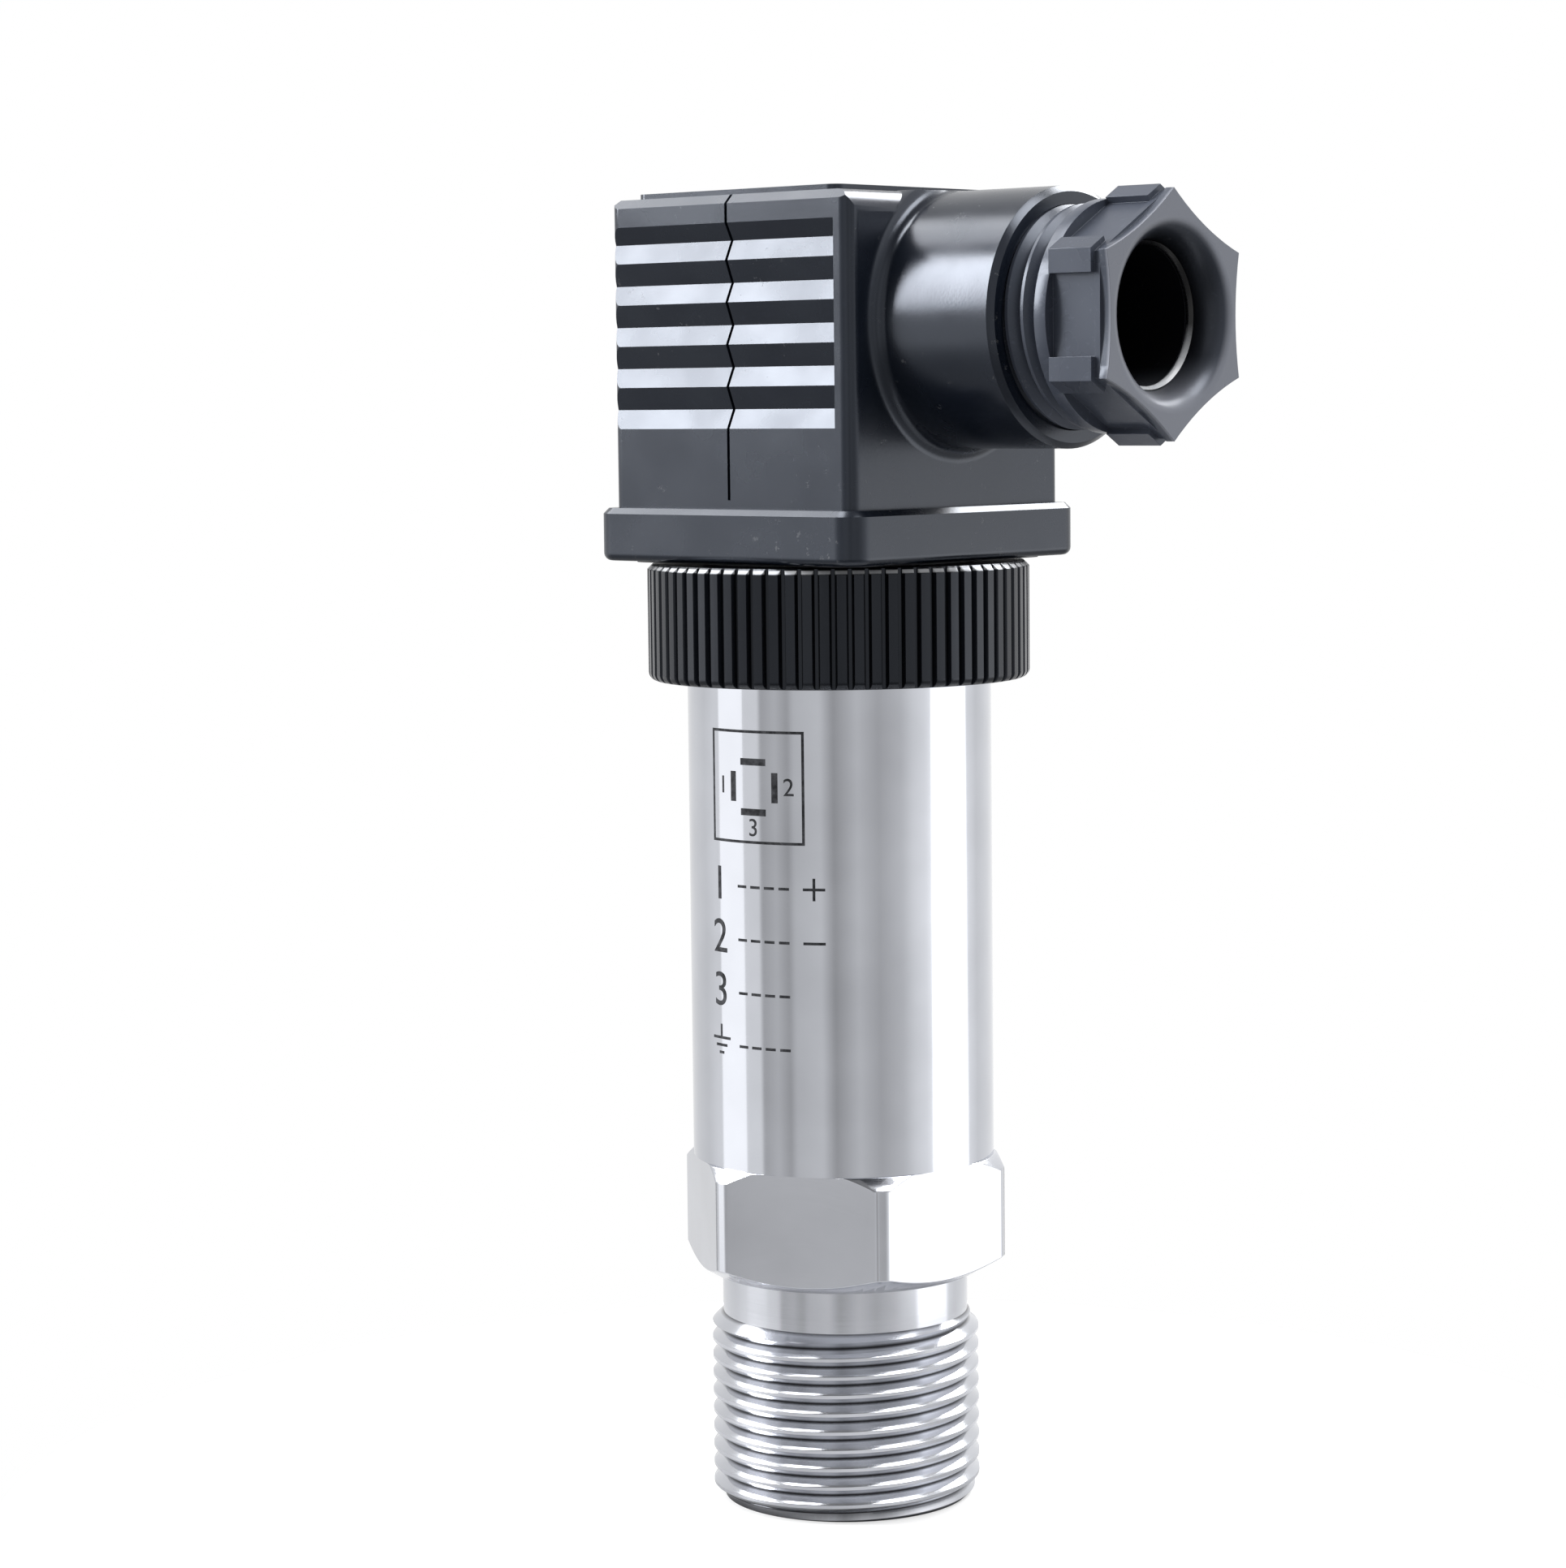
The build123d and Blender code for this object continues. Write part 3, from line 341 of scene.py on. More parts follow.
# %% [markdown]
# ## Moulded plastic
#
# The plug, the ring and the gland are glass-filled nylon, moulded in a spark-eroded tool. That
# gives a satin skin: a fine grain, and slow changes of gloss where the melt met the steel. A flat
# roughness would look like painted wood, so a grain feeds the bump and a cloudy noise feeds the
# roughness. Handling leaves a few pale scuffs. The skin mirrors light a little cooler than it is,
# and that tint is the same everywhere, so it is set on the shader itself.

# %% Maker of plastic finishes
# Widths of the patterns in millimetres: clouds of gloss, handled patches and scratches in them
gloss_cloud = 6
handled_width = 7
scratch_width = 0.9


def moulded(name, tone, roughness, grain, grain_depth, scuffed=0.0, gloss=1.5, retoned=None):
    """Satin plastic with a grain of this size and depth in millimetres, scuffed from 0 to 1.

    A function given as retoned changes the skin's colour where the piece differs from the rest.
    """
    plastic = Finish(name, IOR=gloss, Specular_Tint=(0.79, 0.86, 1, 1))
    cloudy = plastic.noise(gloss_cloud, detail=3)
    fine = plastic.noise(grain, detail=2)
    specks = plastic.between(plastic.noise(grain * 2.2, detail=1), 0.66, 0.74)
    handled = plastic.between(plastic.noise(handled_width, detail=1), 0.5, 0.62)
    jagged = plastic.noise(scratch_width, detail=4, roughness=0.7)
    scuffs = plastic.between(jagged, 0.63, 0.69) * handled * scuffed
    skin = plastic.blend(specks * 0.5 + cloudy * 0.3, tone, shade(tone, 1.6, 0.002))
    if retoned:
        skin = retoned(plastic, skin)
    plastic.wear(
        Base_Color=plastic.blend(scuffs, skin, shade(tone, 0.6, 0.16)),
        Roughness=plastic.clouds(cloudy, roughness - 0.05, roughness + 0.05) + scuffs * 0.2,
    )
    plastic.relief(fine - scuffs * 2, grain_depth)
    return plastic.material


# %% [markdown]
# Two pieces have light and shade painted over their surface. The gland's bore is painted black as
# shade, fading up the funnel, while the front face and the lower sill of the funnel, where light
# falls, are painted pale as light. The tips of the ring's teeth are painted almost white as glints.
# Each is a mask from heights and radii, so it stays on its feature and needs no picture file.

# %% Where light and shade are painted on the gland and the ring
painted_shade_black = (0.004, 0.004, 0.005)
painted_light_grey = (0.19, 0.2, 0.232)
glint_white = (0.6, 0.61, 0.63)
# Drop below the outlet's axis, in millimetres, where the sill's painted light begins and where it
# is full
sill_begins, sill_full = 3.0, 6.0


def paint_gland_light_and_shade(plastic, skin):
    """Painted shade, black, in the bore, the skin's colour up the funnel, and painted light on the
    face and the sill.
    """
    x, y, z = plastic.parts()
    drop = (outlet_axis - z) / mm
    radius = plastic.distance(y, outlet_axis - z) / mm
    front = plastic.between(x / mm, gland_face - 0.3, gland_face - 0.1)
    in_funnel = plastic.between(radius, funnel_radius + 0.4, funnel_radius + 0.1)
    sill = plastic.between(drop, sill_begins, sill_full) * in_funnel
    # Painted light: the front face and the lower sill are made pale where light falls
    lit_skin = plastic.blend(plastic.maths("MAXIMUM", front, sill), skin, painted_light_grey)
    out_of_bore_shade = plastic.between(radius + sill * 0.7, bore_radius + 0.2, funnel_radius - 0.2)
    # Painted shade: black in the bore, fading out up the funnel
    return plastic.blend(out_of_bore_shade, painted_shade_black, lit_skin)


def paint_tip_glints(plastic, skin):
    """Painted glints: the upper outer tips of the ring's teeth are painted pale."""
    x, y, z = plastic.parts()
    top = high("knurled_ring").z / mm
    rim = ring_radius / mm
    near_top = plastic.between(z / mm, top - 0.44, top - 0.34)
    near_rim = plastic.between(plastic.distance(x, y) / mm, rim - 0.36, rim - 0.28)
    # Painted highlight: the tooth tips are made near white as glints
    return plastic.blend(near_top * near_rim, skin, glint_white)


# %% Plastic finishes
# Name, colour, roughness, then the grain's size and depth in millimetres
housing_plastic = moulded(
    "housing_plastic", (0.004, 0.0062, 0.0115), 0.26, 0.22, 0.003, scuffed=0.45, gloss=1.62
)
# The ring's tooth tips carry painted glints
ring_plastic = moulded(
    "ring_plastic", (0.003, 0.0035, 0.005), 0.24, 0.25, 0.002, retoned=paint_tip_glints
)
# The gland carries painted shade in its bore and painted light on its face and sill
gland_plastic = moulded(
    "gland_plastic", (0.045, 0.052, 0.07), 0.3, 0.22, 0.003, scuffed=0.3, retoned=paint_gland_light_and_shade
)
carrier_plastic = moulded("carrier_plastic", (0.16, 0.165, 0.17), 0.45, 0.3, 0.004)
trimmer_plastic = moulded("trimmer_plastic", (0.02, 0.09, 0.36), 0.4, 0.2, 0.003)
chip_plastic = moulded("chip_plastic", (0.018, 0.018, 0.02), 0.5, 0.12, 0.006)
lead_plastic = moulded("lead_plastic", (0.55, 0.03, 0.025), 0.4, 0.3, 0.003)
seal_rubber = moulded("seal_rubber", (0.02, 0.02, 0.021), 0.62, 0.16, 0.008)
# The gland and the ring carry painted light and shade
print("plastic finishes made, the gland and the ring with worn places")


# %% [markdown]
# ## Brass, tin plate and zinc plate
#
# Hidden metal parts are seen when the plug is lifted. Drawn and plated parts have no lathe rings:
# their plating has a soft cloud in its shine and a faint orange peel.

# %% Plated finishes
# Depth of the orange peel in millimetres
peel_depth = 0.004


def plated(name, tone, roughness, cloud, peel):
    """Plated or drawn metal whose shine clouds over at this size in millimetres."""
    metal = Finish(name, Metallic=1.0)
    cloudy = metal.noise(cloud, detail=3)
    metal.wear(
        Base_Color=metal.blend(metal.between(cloudy, 0.35, 0.65), shade(tone, 0.82), tone),
        Roughness=metal.clouds(cloudy, roughness + 0.07, roughness - 0.05),
    )
    metal.relief(metal.noise(peel, detail=2), peel_depth)
    return metal.material


# Name, colour, roughness, then the sizes of the cloud and of the peel
brass = plated("brass", (0.72, 0.52, 0.25), 0.24, 2.5, 0.4)
tin_plate = plated("tin_plate", (0.72, 0.71, 0.68), 0.3, 1.8, 0.3)
zinc_plate = plated("zinc_plate", (0.62, 0.65, 0.68), 0.28, 1.5, 0.3)
print("plated finishes:", brass.name, tin_plate.name, zinc_plate.name)


# %% [markdown]
# ## Circuit board
#
# The two boards are green solder mask over copper. Copper tracks show as slightly lighter, raised
# lines. A brick pattern of narrow joints reads as tracks at this size, with no picture file.

# %% Board finish
# Height of a track in millimetres, and the mask's colour between and over the tracks
track_height = 0.02
bare_green = (0.006, 0.075, 0.028)
track_green = (0.02, 0.16, 0.06)


def board_mask():
    """Solder mask over copper tracks, which are the joints of a brick pattern."""
    mask = Finish("board_mask")
    staggered = {"offset": 0.37, "squash": 0.7}
    joints = {"Vector": mask.place, "Scale": 420.0, "Mortar Size": 0.05, "Mortar Smooth": 0.2}
    tracks = mask.node("ShaderNodeTexBrick", staggered, joints, output="Fac")
    mask.wear(
        Base_Color=mask.blend(tracks, bare_green, track_green),
        Roughness=mask.clouds(mask.noise(3), 0.28, 0.4),
    )
    mask.relief(tracks, track_height)
    return mask.material


board_green = board_mask()
print("board finish:", board_green.name)

# %% [markdown]
# ## Give the CAD nodes their finishes
#
# A table from finish to nodes is short and easy to check. Every node must be in it, so a forgotten
# one stops the script here and not in the render.

# %% Paint the nodes
finishes = {
    tube_steel: ["body_tube"],
    fitting_steel: [
        "process_fitting", "sensor_capsule", "isolating_diaphragm", "retaining_ring",
    ],
    housing_plastic: ["socket_housing"],
    ring_plastic: ["knurled_ring"],
    gland_plastic: ["gland_screw"],
    carrier_plastic: ["pin_header", "terminal_insert"],
    seal_rubber: [
        "capsule_o_ring", "header_o_ring", "flat_gasket", "gland_grommet", "screw_seal",
    ],
    brass: ["board_spacers", "header_nut", "zero_trimmer", "span_trimmer"],
    tin_plate: ["header_blades", "earth_blade", "contact_sleeves", "capsule_pins"],
    zinc_plate: ["fixing_screw", "terminal_screws", "gland_washer"],
    board_green: ["compensation_board", "amplifier_board"],
    trimmer_plastic: ["trimmer_bodies"],
    chip_plastic: ["board_components"],
    lead_plastic: ["signal_leads"],
}
finish_of = {node: finish for finish, nodes in finishes.items() for node in nodes}
for name, node in frame["nodes"].items():
    node.data.materials.clear()
    node.data.materials.append(finish_of[name])
print("painted", len(finish_of), "nodes")


# %% [markdown]
# ## Copies that can be worked on
#
# A CAD node is never changed, so a piece that needs a finer edge starts as a copy of its mesh. The
# copy arrives as triangles. Joining the ones that lie in one plane gives whole faces again, and
# then a bevel only finds the real edges.

# %% Copy a node's mesh
body_with = {
    node: body
    for body, nodes in frame["record"]["behaviour"]["bodies"].items()
    for node in nodes
}
weld_gap = 0.0005 * mm
flat_enough = math.radians(0.4)


def whole_faces(node):
    """The mesh of a CAD node with its coplanar triangles joined."""
    form = bmesh.new()
    form.from_mesh(frame["nodes"][node].data)
    bmesh.ops.remove_doubles(form, verts=form.verts, dist=weld_gap)
    bmesh.ops.dissolve_limit(form, angle_limit=flat_enough, verts=form.verts, edges=form.edges)
    return form


def add_piece(form, name, body, finish, crease):
    """Turn a mesh form into a piece that rides on a body, smooth but for creases in degrees."""
    mesh = bpy.data.meshes.new(name)
    form.to_mesh(mesh)
    form.free()
    mesh.shade_smooth()
    mesh.set_sharp_from_angle(angle=math.radians(crease))
    mesh.materials.append(finish)
    piece = bpy.data.objects.new(name, mesh)
    bpy.context.scene.collection.objects.link(piece)
    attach(piece, body)
    print(name, "has", len(mesh.polygons), "faces")
    return piece


# %% [markdown]
# ## Rounded moulding edges
#
# No moulding has a knife edge: the tool's corners are rounded, and that thin round is what catches
# a line of light. A bevel modifier makes it on every edge sharper than a limit. Weighted normals
# keep the flat faces flat, so that only the round shades.

# %% Rounded copies
no_creases = 180


def round_edges(piece, radius, limit=33):
    """Round the edges that turn by over a limit in degrees, by a radius in millimetres."""
    bevel = piece.modifiers.new("rounded_edges", "BEVEL")
    bevel.width = radius * mm
    bevel.segments = 3
    bevel.limit_method = "ANGLE"
    bevel.angle_limit = math.radians(limit)
    bevel.miter_outer = "MITER_ARC"
    weighted = piece.modifiers.new("flat_faces", "WEIGHTED_NORMAL")
    weighted.keep_sharp = False
    weighted.weight = 80


def stand_for(node, name, form, radius, limit=33):
    """A piece with rounded edges that stands for a CAD node and rides on its body."""
    piece = add_piece(form, name, body_with[node], finish_of[node], no_creases)
    round_edges(piece, radius, limit)
    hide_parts(node)


housing_form = whole_faces("socket_housing")
stand_for(
    "socket_housing", "rounded_socket_housing", housing_form, 0.14, limit=24
)
ring_form = whole_faces("knurled_ring")
stand_for("knurled_ring", "rounded_knurled_ring", ring_form, 0.15)


# %% [markdown]
# ## A real screw thread
#
# The CAD threads are plain cylinders at their outer diameter. A thread is a profile that climbs as
# it goes round: each row of points follows one corner of the profile, and rises by one pitch a
# turn. At both ends the lathe leaves a chamfer, so no point may stand further out than a 45 degree
# line from the root. A texture could fake this, but it would lose the stepped outline against the
# white. The crests are a little broader than a sharp thread's, as on a rolled and polished
# fitting.

# %% The thread's profile
thread_pitch = 1.5 * mm
thread_depth = 0.6134 * thread_pitch
# Each corner of the profile: its height as a share of the pitch, and how far it is sunk below the
# crest as a share of the depth
thread_corners = [
    (0, 0.05), (0.04, 0), (0.21, 0), (0.25, 0.05), (0.6, 0.96), (0.625, 1), (0.65, 0.96),
]
columns = 120
print("thread of", thread_pitch / mm, "mm pitch and", round(thread_depth / mm, 3), "mm depth")


# %% Thread maker
def around(count):
    """This many angles evenly round a circle."""
    return [2 * math.pi * column / count for column in range(count)]


def thread_rows(form, crest, start, end):
    """Rows of points along the corners of the profile, which climb one pitch a turn."""
    rows = []
    for turn in range(-1, math.ceil((end - start) / thread_pitch) + 1):
        for share, sunk in thread_corners:
            row = []
            for column, angle in enumerate(around(columns)):
                z = start + thread_pitch * (turn + share + column / columns)
                z = min(max(z, start), end)
                root = crest - thread_depth
                r = min(crest - sunk * thread_depth, root + z - start, root + end - z)
                row.append(form.verts.new((r * math.cos(angle), r * math.sin(angle), z)))
            rows.append(row)
    return rows


def thread_form(crest, start, end, flange=False):
    """A right-hand thread round +Z, closed by a flat ring at its end if it meets a flange."""
    form = bmesh.new()
    rows = thread_rows(form, crest, start, end)
    a_turn = len(thread_corners)
    for i, (lower, upper) in enumerate(zip(rows, rows[1:])):
        for k in range(columns - 1):
            form.faces.new((lower[k], lower[k + 1], upper[k + 1], upper[k]))
        # The last column meets the first one a whole pitch higher
        if i + 1 + a_turn < len(rows):
            form.faces.new((lower[-1], rows[i + a_turn][0], rows[i + 1 + a_turn][0], upper[-1]))
    if flange:
        inner, outer = (
            [form.verts.new((r * math.cos(a), r * math.sin(a), end)) for a in around(columns)]
            for r in (crest - thread_depth, crest)
        )
        for k in range(columns):
            form.faces.new((inner[k - 1], inner[k], outer[k], outer[k - 1]))
    bmesh.ops.remove_doubles(form, verts=form.verts, dist=0.001 * mm)
    bmesh.ops.dissolve_degenerate(form, edges=form.edges, dist=0.001 * mm)
    return form


# %% [markdown]
# Before a thread goes on, the plain cylinder comes off. Its faces are those up to the thread's end
# whose middles stand clear of the root, so a test of each face's middle finds them, whatever order
# they have in the mesh.

# %% Cut the plain cylinder
clear = 0.02 * mm


def cut_cylinder(form, radius_at, along, end, crest):
    """Delete the plain cylinder up to an end: the faces whose middle stands clear of the root."""
    doomed = []
    for face in form.faces:
        middle = face.calc_center_median()
        if along(middle) < end + clear and radius_at(middle) > crest - thread_depth + clear:
            doomed.append(face)
    print("plain cylinder:", len(doomed), "faces cut")
    bmesh.ops.delete(form, geom=doomed, context="FACES")


# %% [markdown]
# ## Process fitting
#
# One turned piece: a port in its end, the process thread, an undercut where the thread cutter ran
# out, a hexagon for the spanner, and a spigot inside the tube. The plain cylinder is cut out of a
# copy and the real thread is put in its place.

# %% Fitting and its thread
process_crest = mounts["process_thread"]["dims"]["r_mm"] * mm
process_end = 2 * mounts["process_thread"]["pos_m"][2]
thread_crease = 25

fitting_form = whole_faces("process_fitting")
cut_cylinder(
    fitting_form, lambda p: math.hypot(p.x, p.y), lambda p: p.z, process_end, process_crest
)
stand_for("process_fitting", "turned_fitting", fitting_form, 0.12)
process_form = thread_form(process_crest, 0, process_end)
process_root = (process_crest - thread_depth) / mm
# The thread's steel has shade painted into each groove just above the root
thread_steel = turned_steel(
    "thread_steel", (0.62, 0.635, 0.68), 0.14, 0.12, 0.0008, root=process_root
)
add_piece(process_form, "process_thread", "casing", thread_steel, thread_crease)
print("thread ends at", round(process_end / mm, 2), "mm")

# %% [markdown]
# ## Gland screw
#
# The gland is a hollow screw with a hexagon head. It stands a few turns out of its boss, so part
# of its thread shows. Its thread lies along +X: the same maker builds it upright, and one matrix
# turns it over and moves it to the outlet's axis.

# %% Gland and its thread
gland_crest = 8.6 * mm
gland_thread_length = 7.2 * mm
gland_start = low("gland_screw").x

gland_form = whole_faces("gland_screw")
cut_cylinder(
    gland_form,
    lambda p: math.hypot(p.y, p.z - outlet_axis),
    lambda p: p.x,
    gland_start + gland_thread_length,
    gland_crest,
)
stand_for("gland_screw", "rounded_gland_screw", gland_form, 0.16)
gland_form = thread_form(gland_crest, 0, gland_thread_length, flange=True)
to_outlet = Matrix.Translation((gland_start, 0, outlet_axis))
laid_down = to_outlet @ Matrix.Rotation(math.pi / 2, 4, "Y")
bmesh.ops.transform(gland_form, matrix=laid_down, verts=gland_form.verts)
add_piece(gland_form, "gland_thread", "gland", gland_plastic, thread_crease)

# %% [markdown]
# The bore begins with a narrow lip. Its lower half is painted bright as a highlight, and its upper
# half black as shade, so it shows as a thin crescent. It is a short profile spun round the outlet's
# axis, and a mask by height tells the bright half from the black one.

# %% Lip of the bore
# Each corner: how far it stands out into the funnel, and how far outside the bore's radius
lip_corners = [(0.6, 0.2), (0.4, -0.01), (0.3, -0.06), (0.2, -0.07), (0.1, -0.04), (0, 0.2)]
lip_columns = 96
lip_form = bmesh.new()
lip_rows = []
for out, wider in lip_corners:
    x = (bore_edge + out) * mm
    r = (bore_radius + wider) * mm
    lip_rows.append([
        lip_form.verts.new((x, r * math.cos(a), outlet_axis + r * math.sin(a)))
        for a in around(lip_columns)
    ])
for front, back in zip(lip_rows, lip_rows[1:]):
    for k in range(lip_columns):
        lip_form.faces.new((front[k - 1], front[k], back[k], back[k - 1]))

painted_light_and_shade = Finish("worn_lip", IOR=1.5)
lower_half = painted_light_and_shade.between((outlet_axis - painted_light_and_shade.parts()[2]) / mm, 0.6, 4.2)
painted_light_and_shade.wear(
    # Painted highlight on the lip's lower half, painted shade on its upper half
    Base_Color=painted_light_and_shade.blend(lower_half, (0.006, 0.006, 0.007), (0.7, 0.72, 0.75)),
    Roughness=painted_light_and_shade.clouds(painted_light_and_shade.noise(0.6), 0.2, 0.35),
)
add_piece(lip_form, "gland_bore_lip", "gland", painted_light_and_shade.material, crease=60)


# %% [markdown]
# ## Etched wiring key
#
# Such a tube carries a laser-etched key to its contacts. Here it is a generic one: the plug's face
# with its blade slots, then a row for each contact with its numeral and a sign. Etching only
# darkens the steel, so the key is a skin of flat shapes, a hundredth of a millimetre proud. The
# shapes are drawn on a flat sheet, cut into narrow strips, and bent round the tube. A bump would
# carve it too deep, and a painted texture would need a picture file.

# %% Drawing on a flat sheet
stroke = 0.22
sheet = bmesh.new()


def bar(middle, across, width, height):
    """Rectangle on the flat sheet, centred at (middle, across) in millimetres."""
    half_width, half_height = width / 2, height / 2
    corners = [(-1, -1), (1, -1), (1, 1), (-1, 1)]
    points = [(middle + i * half_width, 0, across + k * half_height) for i, k in corners]
    sheet.faces.new([sheet.verts.new(point) for point in points])


def numeral(digit, middle, across, size):
    """A digit on the flat sheet, made by a text object and turned into faces."""
    text = bpy.data.curves.new("digit", "FONT")
    text.body = digit
    text.size = size
    text.align_x = "CENTER"
    text.align_y = "CENTER"
    holder = bpy.data.objects.new("digit", text)
    flat = bpy.data.meshes.new_from_object(holder)
    upright = Matrix.Rotation(math.pi / 2, 4, "X")
    flat.transform(Matrix.Translation((middle, 0, across)) @ upright)
    sheet.from_mesh(flat)
    bpy.data.objects.remove(holder)


def earth_sign(middle, across):
    """A stem over three shorter and shorter bars."""
    bar(middle, across + 1.05, stroke, 1.1)
    for rise, width in ((0.5, 2.2), (-0.1, 1.4), (-0.7, 0.6)):
        bar(middle, across + rise, width, stroke)


# %% The plug's face, with its slots and their numerals
face_side = 8.8
face_middle = 59.6
slot_place, slot_length, slot_width = 2.0, 2.4, 0.55
label_size = 2.0
for side in (-1, 1):
    bar(side * face_side / 2, face_middle, stroke, face_side + stroke)
    bar(0, face_middle + side * face_side / 2, face_side + stroke, stroke)
    bar(side * slot_place, face_middle, slot_width, slot_length)
    bar(0, face_middle + side * slot_place, slot_length, slot_width)
for digit, middle, rise in (("1", -3.2, 0), ("2", 3.2, 0), ("3", 0, -3.3)):
    numeral(digit, middle, face_middle + rise, label_size)
print("face drawn with", len(sheet.faces), "shapes")

# %% A row for each contact
first_row = 51.6
row_pitch = 4.3
numeral_place, numeral_size = -3.8, 3.9
dash_place, dash_pitch, dash_length = -1.2, 1.3, 0.9
sign_place, sign_size = 5.2, 1.8
for row, digit in enumerate(("1", "2", "3", "")):
    across = first_row - row_pitch * row
    if digit:
        numeral(digit, numeral_place, across, numeral_size)
    else:
        earth_sign(numeral_place, across)
    for dash in range(4):
        bar(dash_place + dash_pitch * dash, across, dash_length, stroke)
bar(sign_place, first_row, sign_size, stroke)
bar(sign_place, first_row, stroke, sign_size)
bar(sign_place, first_row - row_pitch, sign_size, stroke)
print("key drawn with", len(sheet.faces), "shapes")

# %% Bend it round the tube
strip_width = 0.25
strips_each_side = 26
key_left_of_camera = math.radians(35)
proud = 0.012 * mm
for cut in range(-strips_each_side, strips_each_side + 1):
    everything = list(sheet.verts) + list(sheet.edges) + list(sheet.faces)
    at = (strip_width * cut, 0, 0)
    bmesh.ops.bisect_plane(sheet, geom=everything, plane_co=at, plane_no=(1, 0, 0))
key_direction = camera_azimuth - math.pi / 2 - key_left_of_camera
for point in sheet.verts:
    angle = key_direction + point.co.x * mm / tube_radius
    r = tube_radius + proud
    point.co = Vector((r * math.cos(angle), r * math.sin(angle), point.co.z * mm))
bmesh.ops.recalc_face_normals(sheet, faces=sheet.faces)

etched = Finish("etched_steel", Specular_IOR_Level=0.2)
patchy = etched.noise(0.5, detail=3)
patches = etched.between(patchy, 0.35, 0.7)
etched.wear(
    Base_Color=etched.blend(patches, (0.012, 0.013, 0.016), (0.07, 0.072, 0.08)),
    Roughness=etched.clouds(patchy, 0.6, 0.8),
)
etched.relief(patchy, 0.002)
add_piece(sheet, "wiring_key", "casing", etched.material, no_creases)

# %% [markdown]
# ## The studio
#
# The object stands on a small pale table in a white room. What polished steel shows is its
# surroundings, so they matter as much as the steel: white behind, a dimmer room on the camera's
# side, and a softbox at each side that draws a bright band up the tube. The table is small, so
# that the fitting's hexagon mirrors the room over the table's edge. It shows nearly white to the
# camera, while its own colour is grey, so the undersides of the threads don't mirror a white
# sheet.

# %% Table
table_radius = 70 * mm
# What the camera sees on top of the lit grey, as a share of white
table_glow = 0.6
table_mesh = bpy.data.meshes.new("table")
form = bmesh.new()
bmesh.ops.create_circle(form, cap_ends=True, segments=96, radius=table_radius)
form.to_mesh(table_mesh)
form.free()
table = bpy.data.objects.new("table", table_mesh)
bpy.context.scene.collection.objects.link(table)

table_finish = Finish("table_white", Roughness=0.6, Emission_Strength=1.0)
seen = table_finish.node("ShaderNodeLightPath", output="Is Camera Ray")
faint = table_finish.noise(30, detail=2)
table_finish.wear(
    Base_Color=table_finish.blend(faint, (0.38, 0.38, 0.38), (0.42, 0.42, 0.42)),
    Emission_Color=table_finish.blend(seen * table_glow, (0, 0, 0), (1, 1, 1)),
)
table_mesh.materials.append(table_finish.material)
print("table", round(2 * table_radius / mm), "mm across")

# %% [markdown]
# The world is white for the camera and for anything that shows the background. Rays that light the
# object's matt surfaces meet a plain level, so a colour renders about as it is written. For mirror
# rays the room has a brightness by direction: a ramp goes once round the horizon, from behind the
# object over its left, the camera's side and its right. Far below the horizon it falls off, and
# the ceiling is dim.

# %% Walls of the room
# Each stop: an angle in degrees right of the camera's line, and the wall's brightness there
walls = [
    (-180, 0.9), (-126, 0.8), (-112, 0.92), (-66, 0.92), (-63, 0.5), (-51, 0.62), (-41, 0.45),
    (-36, 0.64), (-16, 0.72), (-6, 0.42), (12, 0.68), (28, 0.53), (46, 0.7), (56, 0.92),
    (66, 1.05), (74, 1.3), (108, 1.1), (124, 0.85), (180, 1.05),
]
fill_level = 0.42
print("walls of the room:", len(walls), "levels")

# %% Room
bpy.context.scene.view_settings.view_transform = "Standard"
world = bpy.data.worlds.new("white_room")
bpy.context.scene.world = world
world.use_nodes = True
world.node_tree.nodes.clear()
room = Wiring(world.node_tree)
direction = room.node("ShaderNodeTexCoord", output="Generated")


def along_direction(axis):
    """How far the view direction points along an axis, from -1 to 1."""
    sockets = {0: direction, 1: tuple(axis)}
    return room.node("ShaderNodeVectorMath", {"operation": "DOT_PRODUCT"}, sockets, output="Value")


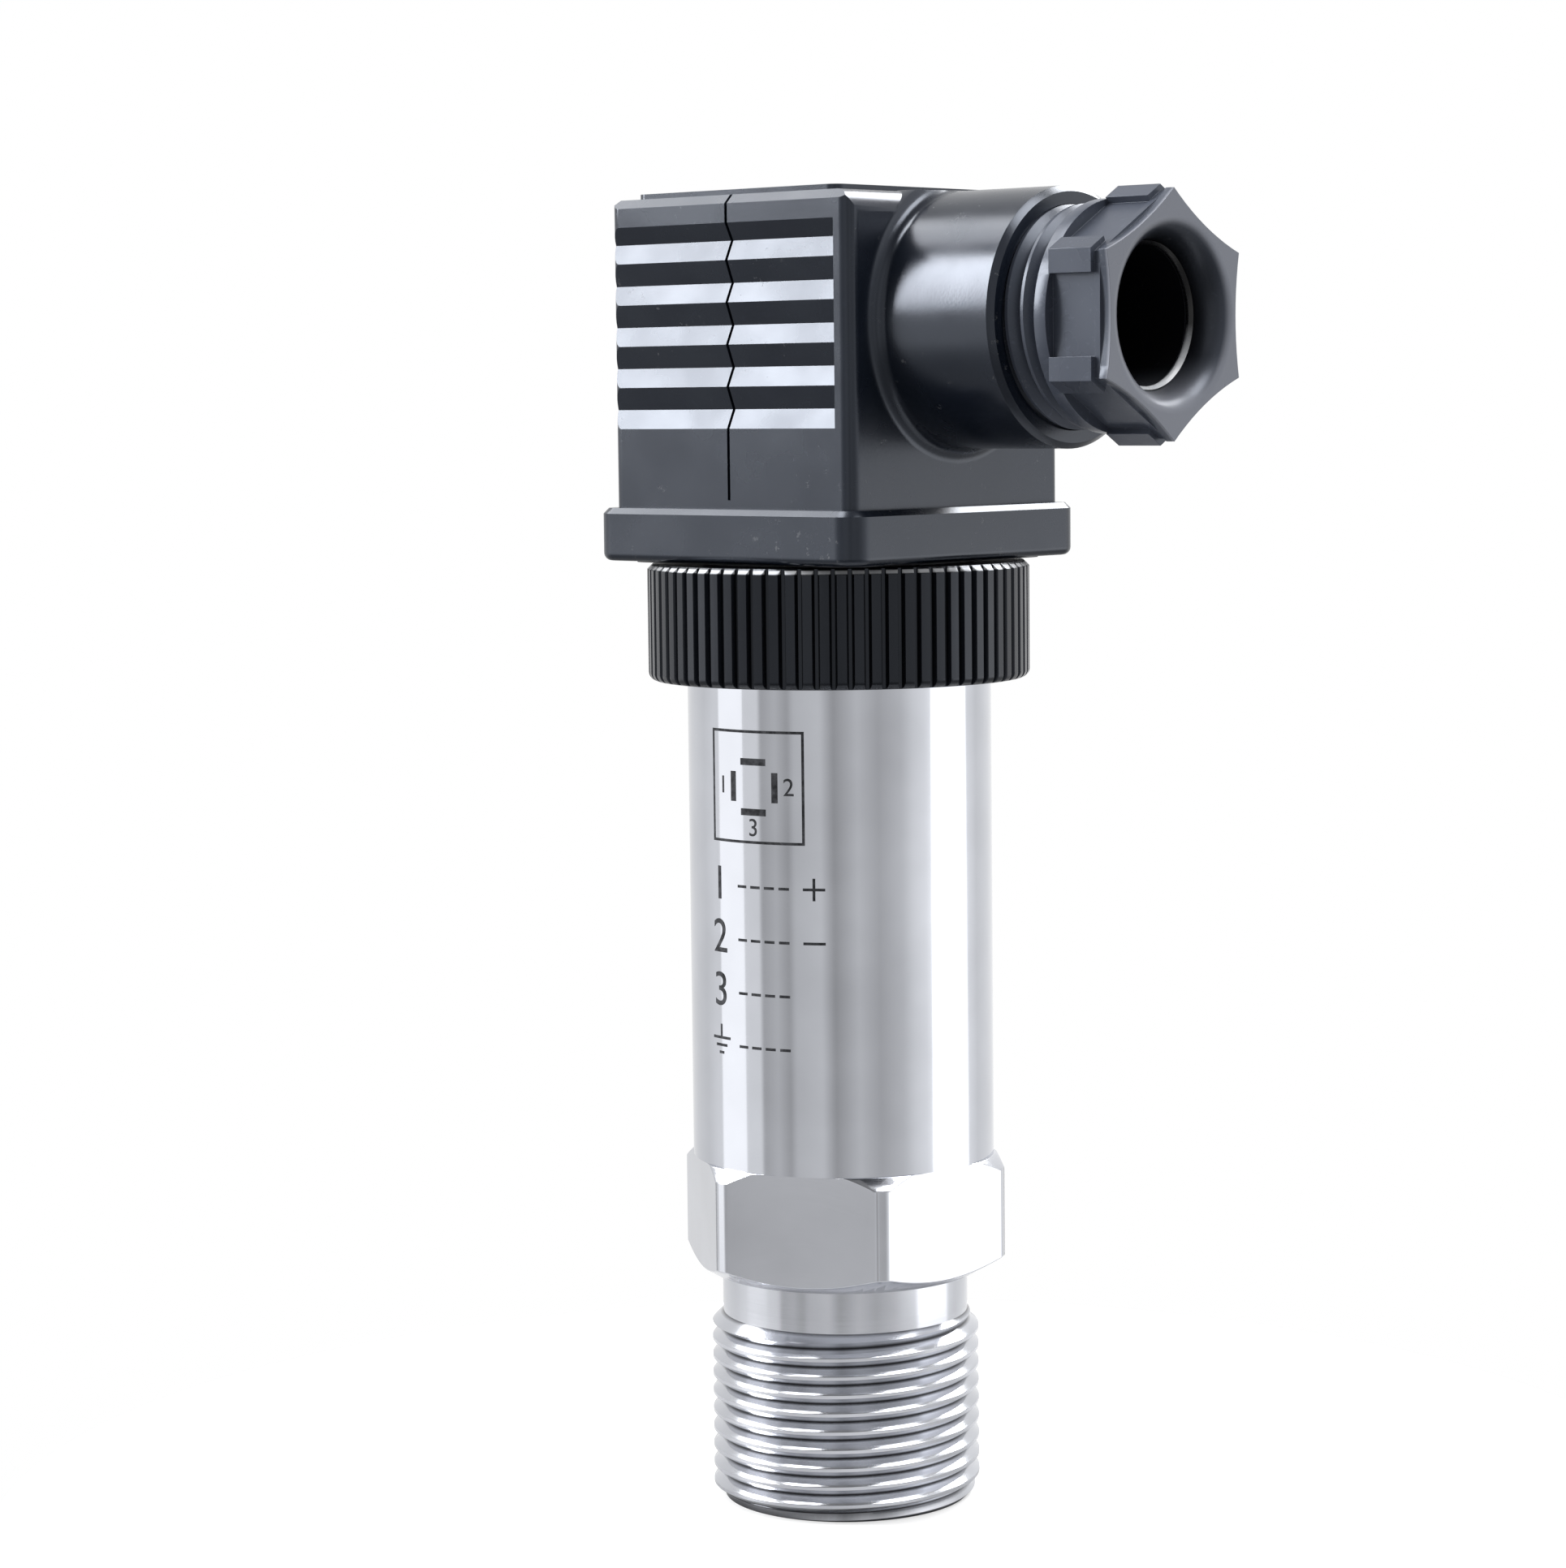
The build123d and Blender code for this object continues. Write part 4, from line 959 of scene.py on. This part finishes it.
from_camera = room.maths("ARCTAN2", along_direction(right), along_direction(-level_forward))
room_level = room.node(
    "ShaderNodeValToRGB",
    {"stops": [((angle + 180) / 360, level) for angle, level in walls]},
    {"Fac": from_camera / (2 * math.pi) + 0.5},
)
upwards = along_direction(up)
below = room.between(upwards, -0.5, -0.22, 0.38, 1.0, "SMOOTHSTEP")
above = room.between(upwards, 0.58, 0.92, 1.0, 0.35, "SMOOTHSTEP")
rays = ("Is Camera Ray", "Is Glossy Ray", "Is Transmission Ray")
is_camera, is_glossy, is_through = room.node("ShaderNodeLightPath", output=rays)
reflecting = room.maths("MAXIMUM", is_glossy, is_through)
indoors = reflecting * room_level * below * above + (1 - reflecting) * fill_level
level = is_camera + (1 - is_camera) * indoors
background = room.node("ShaderNodeBackground", {}, {"Color": (1, 1, 1, 1), "Strength": level})
room.node("ShaderNodeOutputWorld", {}, {"Surface": background})
print("the room lights matt surfaces at a level of", fill_level)

# %% [markdown]
# Softboxes are area lights. Each is placed by the angle from the camera's line, its height above
# the horizon and its distance, and given the brightness of its face. A lamp's power is that
# brightness times its area times pi, so a larger box doesn't look brighter in the steel, only
# wider. A mirror ray sees the box and the room behind it added up, so the boxes low down are
# faint.

# %% Softboxes
# Height on the part that every box faces
lit_height = 55 * mm


def softbox(name, from_camera, elevation, distance, width, height, brightness):
    """Area light seen from the object at this angle right of the camera and above the horizon."""
    turn = camera_azimuth - math.pi / 2 + math.radians(from_camera)
    rise = math.radians(elevation)
    level_part = math.cos(rise)
    outwards = Vector((math.cos(turn) * level_part, math.sin(turn) * level_part, math.sin(rise)))
    facing = outwards.to_track_quat("Z", "Y").to_matrix().to_4x4()
    lamp = bpy.data.lights.new(name, "AREA")
    lamp.shape = "RECTANGLE"
    lamp.size = width
    lamp.size_y = height
    lamp.energy = brightness * width * height * math.pi
    box = bpy.data.objects.new(name, lamp)
    box.matrix_world = Matrix.Translation(up * lit_height + outwards * distance) @ facing
    box.visible_camera = False
    bpy.context.scene.collection.objects.link(box)
    print(name, "power", round(lamp.energy, 2), "W")


# Degrees right of the camera's line, degrees up, distance, width, height, brightness
softbox("left_softbox", -92, 27, 0.75, 0.28, 0.44, 15.5)
softbox("left_card", -92, -6, 0.75, 0.34, 0.24, 0.5)
softbox("right_softbox", 90, -12, 0.75, 0.52, 0.30, 0.7)
softbox("left_rim_light", -126, 44, 0.8, 0.34, 0.36, 4.0)
softbox("right_rim_light", 140, 40, 0.8, 0.42, 0.40, 11.0)
softbox("left_top_softbox", -105, 67, 0.8, 0.40, 0.24, 8.0)
softbox("right_top_softbox", 70, 60, 0.8, 0.40, 0.30, 8.0)
